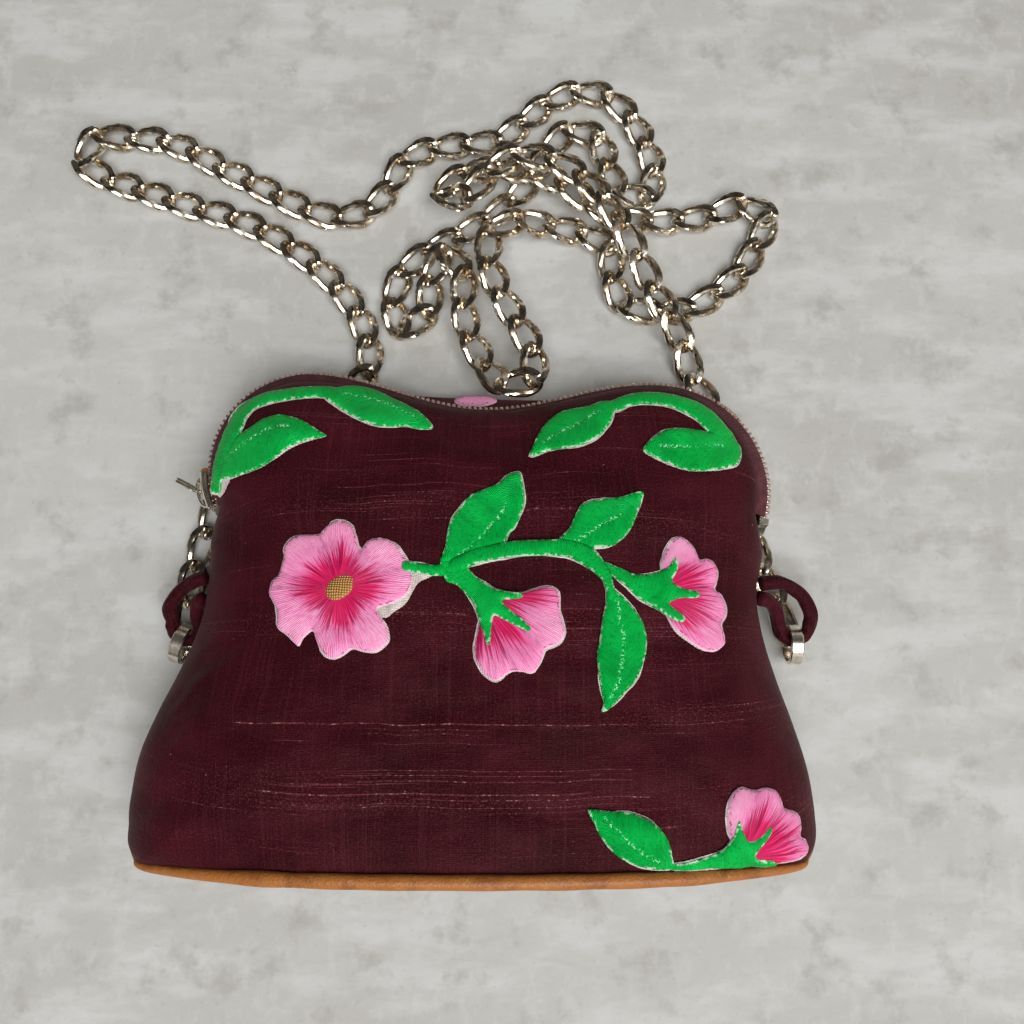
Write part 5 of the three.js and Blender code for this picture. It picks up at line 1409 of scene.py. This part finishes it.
# Side loops and rings
RING_INNER = 5.2
RING_OUTER = 6.4
RING_Z = RING_OUTER + 0.4
LOOP_BEND = 4.7
LOOP_RADIUS = 2.2
SIDES = {
    "left": {
        "ring": (-95, -9), "lean": (-0.32, -0.947), "out": -1,
        "outer": [(-84.8, 10.6, 20), (-88.6, 9.6, 19), (-93, 7.4, 16.5), (-97.6, 2.8, 13.5)],
        "inner": [(-88.8, -1.2, 13.2), (-88, 2.4, 17), (-85.5, 3.6, 19.8)],
    },
    "right": {
        "ring": (101.4, -9.3), "lean": (0, -1), "out": 1,
        "outer": [(88.9, 8.4, 20), (92.8, 9, 19.4), (98, 8.4, 17.8), (103, 5, 15), (106, 0.4, 12.4)],
        "inner": [(95.2, 0.2, 13), (92.4, 3.2, 16.6), (88.4, 4, 20)],
    },
}


def side_loop(name, tip, lean, across):
    """A gathered cloth tube through the side's points and round the ring: radius 2.2 less a turning fold
    and 0.42 e^-((s - middle) / 0.15)^2 where the ring bears, with ripples by sines of the arc and of the
    turn round the tube."""
    side = SIDES[name]
    at = lambda al, si, up: tip + np.array([*(al * lean + si * across), up])
    bend = LOOP_BEND
    path = np.array([*side["outer"], at(-bend, bend, 1), at(-0.29 * bend, 0.71 * bend, 0), at(0, 0, 0),
                     at(-0.29 * bend, -0.71 * bend, 0), at(-bend, -bend, 1), *side["inner"]])
    line = through(path, 10, False)
    sides = 24
    s = np.linspace(0, 1, len(line))[:, None]
    a = circle(sides)[None]
    crease = 0.2 * np.sin(52 * s + 2.5 * np.sin(a + 9 * s)) * np.sin(2 * a + 7 * s)
    crease += 0.1 * np.sin(5 * a + 21 * s)
    fold = 0.45 * np.exp(-((np.mod(a + 0.4 + 5 * s, 2 * np.pi) - np.pi) / 0.3) ** 2)
    middle = (len(side["outer"]) + 2) / (len(path) - 1)
    squeeze = 0.42 * np.exp(-((s - middle) / 0.15) ** 2)
    radius = LOOP_RADIUS + 0.12 * np.sin(19 * s + 1) + crease - fold - squeeze
    rows = line[:, None] + (tube_rows(line, 1.0, sides) - line[:, None]) * radius[..., None]
    points, faces = swept(rows)
    arc = arc_length(line)
    weave = np.column_stack([np.append(np.repeat(arc, sides), [0, arc[-1]]),
                             np.append(np.tile(np.arange(sides) * 0.58, len(line)), [0, 0])]) * MM
    make_mesh("cloth_loop_" + name, points, faces, slot="slub_silk", replaces=["side_loop_" + name],
              material=SILK_PLAIN, layers={"weave": weave})


def side_hardware(name):
    side = SIDES[name]
    centre = np.array(side["ring"], float)
    lean = np.array(side["lean"]) / np.hypot(*side["lean"])
    across = np.array([-lean[1], lean[0]]) * side["out"]
    tip = np.array([*(centre - 0.9 * lean), RING_Z + RING_INNER - 2.1 - 0.9])
    side_loop(name, tip, lean, across)
    a = circle(64)
    section = np.array([(RING_INNER, -1.65), (RING_INNER, 1.65), (RING_INNER + 0.2, 2),
                        (RING_OUTER - 0.25, 2),
                        (RING_OUTER, 1.65), (RING_OUTER, -1.65), (RING_OUTER - 0.25,
                                                                  -2), (RING_INNER + 0.2, -2)])
    radial = np.cos(a)[:, None] * np.array([*lean, 0.0]) + np.sin(a)[:, None] * UP
    ring = (np.array([*centre, RING_Z]) + section[None, :, 0, None] * radial[:, None]
            + section[None, :, 1, None] * np.array([*across, 0.0]))
    make_mesh("strip_ring_" + name, *swept(ring, True), body="ring_" + name, slot="nickel",
              replaces=["side_ring_" + name], material=FITTING_METAL, sharp=30)


side_hardware("left")
side_hardware("right")

# Chain strap
STRAP_ROUTE = parse(
    "-95,4,3.3 -94.2,13,3.2 -91.8,23,3.2 -88,36,3.2 -82,54,3.2 -70.4,66.1,3.2 -57,75,3.2 -44,77,3.2 "
    "-38,83,3.2 -38,94,3.2 -42,105,3.2 -49,115,3.2 -57,123,3.2 -66,130,3.2 -77,137,3.2 -88,142,3.2 "
    "-99,145,3.2 -111,149,3.2 -122,153,3.2 -134,157,3.2 -144,163,4.9 -141,172,6.4 -130,173,4 -118,173,3.2 "
    "-107,170,3.2 -98,164,3.2 -88,159,3.2 -77,153,3.2 -66,147,3.2 -54,142,3.2 -43,143,3.2 -34,149,3.2 "
    "-31,158,3.2 -26,167,3.2 -15,170,3.2 -4,171,3.2 7,172,3.2 16,180,3.2 26,189,3.2 38,193,3.2 50,188,3.2 "
    "57,176,3.2 62,164,3.2 62,151,3.2 54,147,3.9 47,154,4.4 45,165,3.9 41,176,3.2 31,177,3.2 24,168,3.2 "
    "18,157,3.2 10,147,3.2 1,140,3.2 -9,134,3.2 -20,128,3.2 -29,119,3.2 -31,108,3.2 -26,98,3.6 -18,101,4.4 "
    "-18,112,4.4 -17,122,5.4 -12,128,6.9 -6,123,7.9 -5,113,8.4 -6,103,8.4 -2,92,8.4 3,83,9.9 6,77,13.4 "
    "12,74,15.9 19,77,15.9 19,86,14.4 15,95,13.9 9,105,13.7 4,116,13.7 2,127,13.2 6,136,11.4 15,138,9.9 "
    "27,137,4.4 39,135,3.2 48,129,3.2 46,118,3.2 50,108,3.2 62,106,3.2 73,107,3.2 83,113,3.2 92,121,3.2 "
    "98,132,3.2 103,145,3.4 95,148,4.4 84,143,3.4 73,141,3.4 62,140,3.4 52,138,9 42,142,9 30,152,9 17,157,9 "
    "3,158,9 -10,154,9 -15,147,9 -8,142,11.9 0,150,14.8 12,160,14.8 26,158,14.8 37,150,14.8 45,140,15.6 "
    "52,128,13 58,116,9.4 64,104,9.2 70,94,5.4 72,84,3.2 77,74,3.2 85,64,3.2 89.5,50,3.2 90.5,34,3.2 "
    "92,18,3.2 97.5,6,3.3")
PITCH = 11.8
LINK_OVERLAP = 1.25
LINK_HALF_WIDTH = 3.75
LINK_POWER = 0.72
WIRE_WIDE, WIRE_HIGH = 1.42, 1.3
LINK_FLAT = 2.3
LINK_TWIST = 45.0


def centripetal(points, steps):
    """A centripetal Catmull-Rom curve: on each span a cubic Hermite whose end slopes come from the quarter
    power of the squared distances to the neighbours."""
    p = np.asarray(points, float)
    p = np.vstack([2 * p[0] - p[1], p, 2 * p[-1] - p[-2]])
    out = []
    for i in range(1, len(p) - 2):
        a, b, c, d = p[i - 1], p[i], p[i + 1], p[i + 2]
        t0 = max(np.sum((a - b) ** 2) ** 0.25, 1e-4)
        t1 = max(np.sum((b - c) ** 2) ** 0.25, 1e-4)
        t2 = max(np.sum((c - d) ** 2) ** 0.25, 1e-4)
        m1 = ((b - a) / t0 - (c - a) / (t0 + t1) + (c - b) / t1) * t1
        m2 = ((c - b) / t1 - (d - b) / (t1 + t2) + (d - c) / t2) * t1
        t = (np.arange(steps) / steps)[:, None]
        out.append((2 * t ** 3 - 3 * t ** 2 + 1) * b + (t ** 3 - 2 * t ** 2 + t) * m1
                   + (-2 * t ** 3 + 3 * t ** 2) * c + (t ** 3 - t ** 2) * m2)
    return np.vstack(out + [p[-2:-1]])


def strap_joints():
    """Points one pitch apart along the strap, by chords."""
    ends = []
    for name in ("left", "right"):
        ring, lean = (np.array(SIDES[name][key]) for key in ("ring", "lean"))
        ends.append([*(ring - lean * 2.15), 3.2])
    fine = centripetal([ends[0], *STRAP_ROUTE, ends[1]], 48)
    joints = [fine[0]]
    for a, b in zip(fine[:-1], fine[1:]):
        da, db = np.linalg.norm(a - joints[-1]), np.linalg.norm(b - joints[-1])
        if da < PITCH <= db:
            joints.append(a + (b - a) * (PITCH - da) / (db - da))
    if np.linalg.norm(fine[-1] - joints[-1]) > PITCH / 2:
        joints.append(fine[-1])
    else:
        joints[-1] = fine[-1]
    return np.array(joints)


def chain():
    """Curb links: x = A sgn(cos a)|cos a|^0.72, y = B sgn(sin a)|sin a|^0.72, turned about the strap by
    45 degrees times x / A, and ground flat where a point stands over 2.3 off the strap's middle plane."""
    joints = strap_joints()
    a, k = circle(30), circle(10)
    links = []
    count = len(joints) - 1
    for i in range(count):
        along = joints[i + 1] - joints[i]
        span = np.linalg.norm(along)
        along = along / span
        flat = np.cross(UP, along)
        flat /= np.linalg.norm(flat)
        lift = np.cross(along, flat)
        half = span / 2 + LINK_OVERLAP
        x, y = half * power(np.cos(a), LINK_POWER), LINK_HALF_WIDTH * power(np.sin(a), LINK_POWER)
        plain = np.column_stack([x, y, 0 * x])
        tangent = np.roll(plain, -1, 0) - np.roll(plain, 1, 0)
        tangent /= np.linalg.norm(tangent, axis=1)[:, None]
        side = np.column_stack([-tangent[:, 1], tangent[:, 0], 0 * x])
        wire = (plain[:, None] + WIRE_WIDE * np.cos(k)[None, :, None] * side[:, None]
                + WIRE_HIGH * np.sin(k)[None, :, None] * UP)
        start = 0.0 if i == 0 else -LINK_TWIST
        stop = 0.0 if i == count - 1 else LINK_TWIST
        turn = np.radians(start + (stop - start) * (wire[..., 0] / half + 1) / 2)
        wy = wire[..., 1] * np.cos(turn) - wire[..., 2] * np.sin(turn)
        wz = np.clip(wire[..., 1] * np.sin(turn) + wire[..., 2] * np.cos(turn), -LINK_FLAT, LINK_FLAT)
        middle = (joints[i] + joints[i + 1]) / 2
        links.append(middle + wire[..., 0, None] * along + wy[..., None] * flat + wz[..., None] * lift)
    nodes = ["strap_chain_%d" % n for n in range(1, 8)] + ["strap_end_link_left", "strap_end_link_right"]
    make_mesh("curb_chain", *skins(links, True), slot="nickel", replaces=nodes, material=CHAIN_METAL,
              sharp=28)


chain()


# Floor and light
def floor_material():
    """Pale worn plaster: broad stains, brushed streaks and fine grain in colour, soft ridges in height."""
    s = Shader("pale_floor", rough=0.7, gloss=0.3)
    place = s.place()
    broad = s.ramp(s.noise(place, 6.0, 4.0, 0.6), 0.3, 0.7)
    tone = s.mix(broad, "b1afab", "bcbcb9")
    brushed = s.stretched(place, (22, 60, 1), 5.0, 0.6)
    tone = s.mix(s.ramp(brushed, 0.45, 0.65, 0.0, 0.6), tone, "cbcccc")
    tone = s.mix(s.ramp(s.stretched(place, (150, 90, 1), 4.0, 0.7), 0.5, 0.66, 0.0, 0.45), tone, "c6c6c5")
    tone = s.mix(s.ramp(s.noise(place, 60.0, 4.0, 0.65), 0.52, 0.72, 0.0, 0.6), tone, "9f9c96")
    tone = s.mix(s.ramp(s.noise(place, 420.0, 2.0), 0.6, 0.8, 0.0, 0.3), tone, "98958e")
    crease = s.stretched(place, (9, 16, 1), 3.0)
    ridge = s.ramp(s.math("ABSOLUTE", s.sub(crease, 0.5)), 0.0, 0.035, 1.0, 0.0)
    height = s.fma(s.noise(place, 260.0, 2.0), 0.12, s.noise(place, 22.0, 4.0))
    return s.finish(tone, None, s.fma(ridge, 0.07, height), 0.004, 0.3)


floor_mesh = bpy.data.meshes.new("floor")
floor_mesh.from_pydata([(-3, -3, 0), (3, -3, 0), (3, 3, 0), (-3, 3, 0)], [], [(0, 1, 2, 3)])
floor_mesh.materials.append(floor_material())
floor = bpy.data.objects.new("floor", floor_mesh)
bpy.context.scene.collection.objects.link(floor)


lamp_data = bpy.data.lights.new("window", "AREA")
lamp_data.shape = "RECTANGLE"
lamp_data.size, lamp_data.size_y = 3.4, 2.6
lamp_data.energy = 197
lamp_data.color = (1.0, 1.0, 0.99)
lamp = bpy.data.objects.new("window", lamp_data)
lamp.location = (0.7, -1.8, 3.5)
lamp.rotation_euler = (Vector((0, 0.1, 0)) - lamp.location).to_track_quat("-Z", "Y").to_euler()
bpy.context.scene.collection.objects.link(lamp)

world = bpy.data.worlds.new("room")
bpy.context.scene.world = world
world.use_nodes = True
room = Tree(world.node_tree)


def room_ramp(value, stops):
    """A colour ramp of warm greys by position and level."""
    node = room.node("ValToRGB", value)
    for k, (at, level) in enumerate(stops):
        stop = node.color_ramp.elements[k] if k < 2 else node.color_ramp.elements.new(at)
        stop.position = at
        stop.color = (level, 0.96 * level, 0.9 * level, 1)
    return node.outputs["Color"]


def room_product(a, b):
    node = room.node("Mix", 1.0)
    node.data_type = "RGBA"
    node.blend_type = "MULTIPLY"
    room.put(node.inputs[6], a)
    room.put(node.inputs[7], b)
    return node.outputs[2]


direction = room.node("TexCoord").outputs["Generated"]
x_part, _, z_part = room.node("SeparateXYZ", direction).outputs
by_height = room_ramp(z_part, ((0.0, 0.35), (0.35, 1.0), (0.62, 0.65), (0.88, 0.09)))
by_side = room.node("MapRange", x_part, -0.8, 0.7, 0.15).outputs[0]
patches = room_ramp(room.node("TexNoise", Vector=direction, Scale=2.6, Detail=2.0).outputs["Fac"],
                    ((0.46, 0.1), (0.57, 1.0)))
background = room.tree.nodes["Background"]
room.put(background.inputs["Color"], room_product(room_product(by_height, patches), by_side))
room.put(background.inputs["Strength"], 1.2)
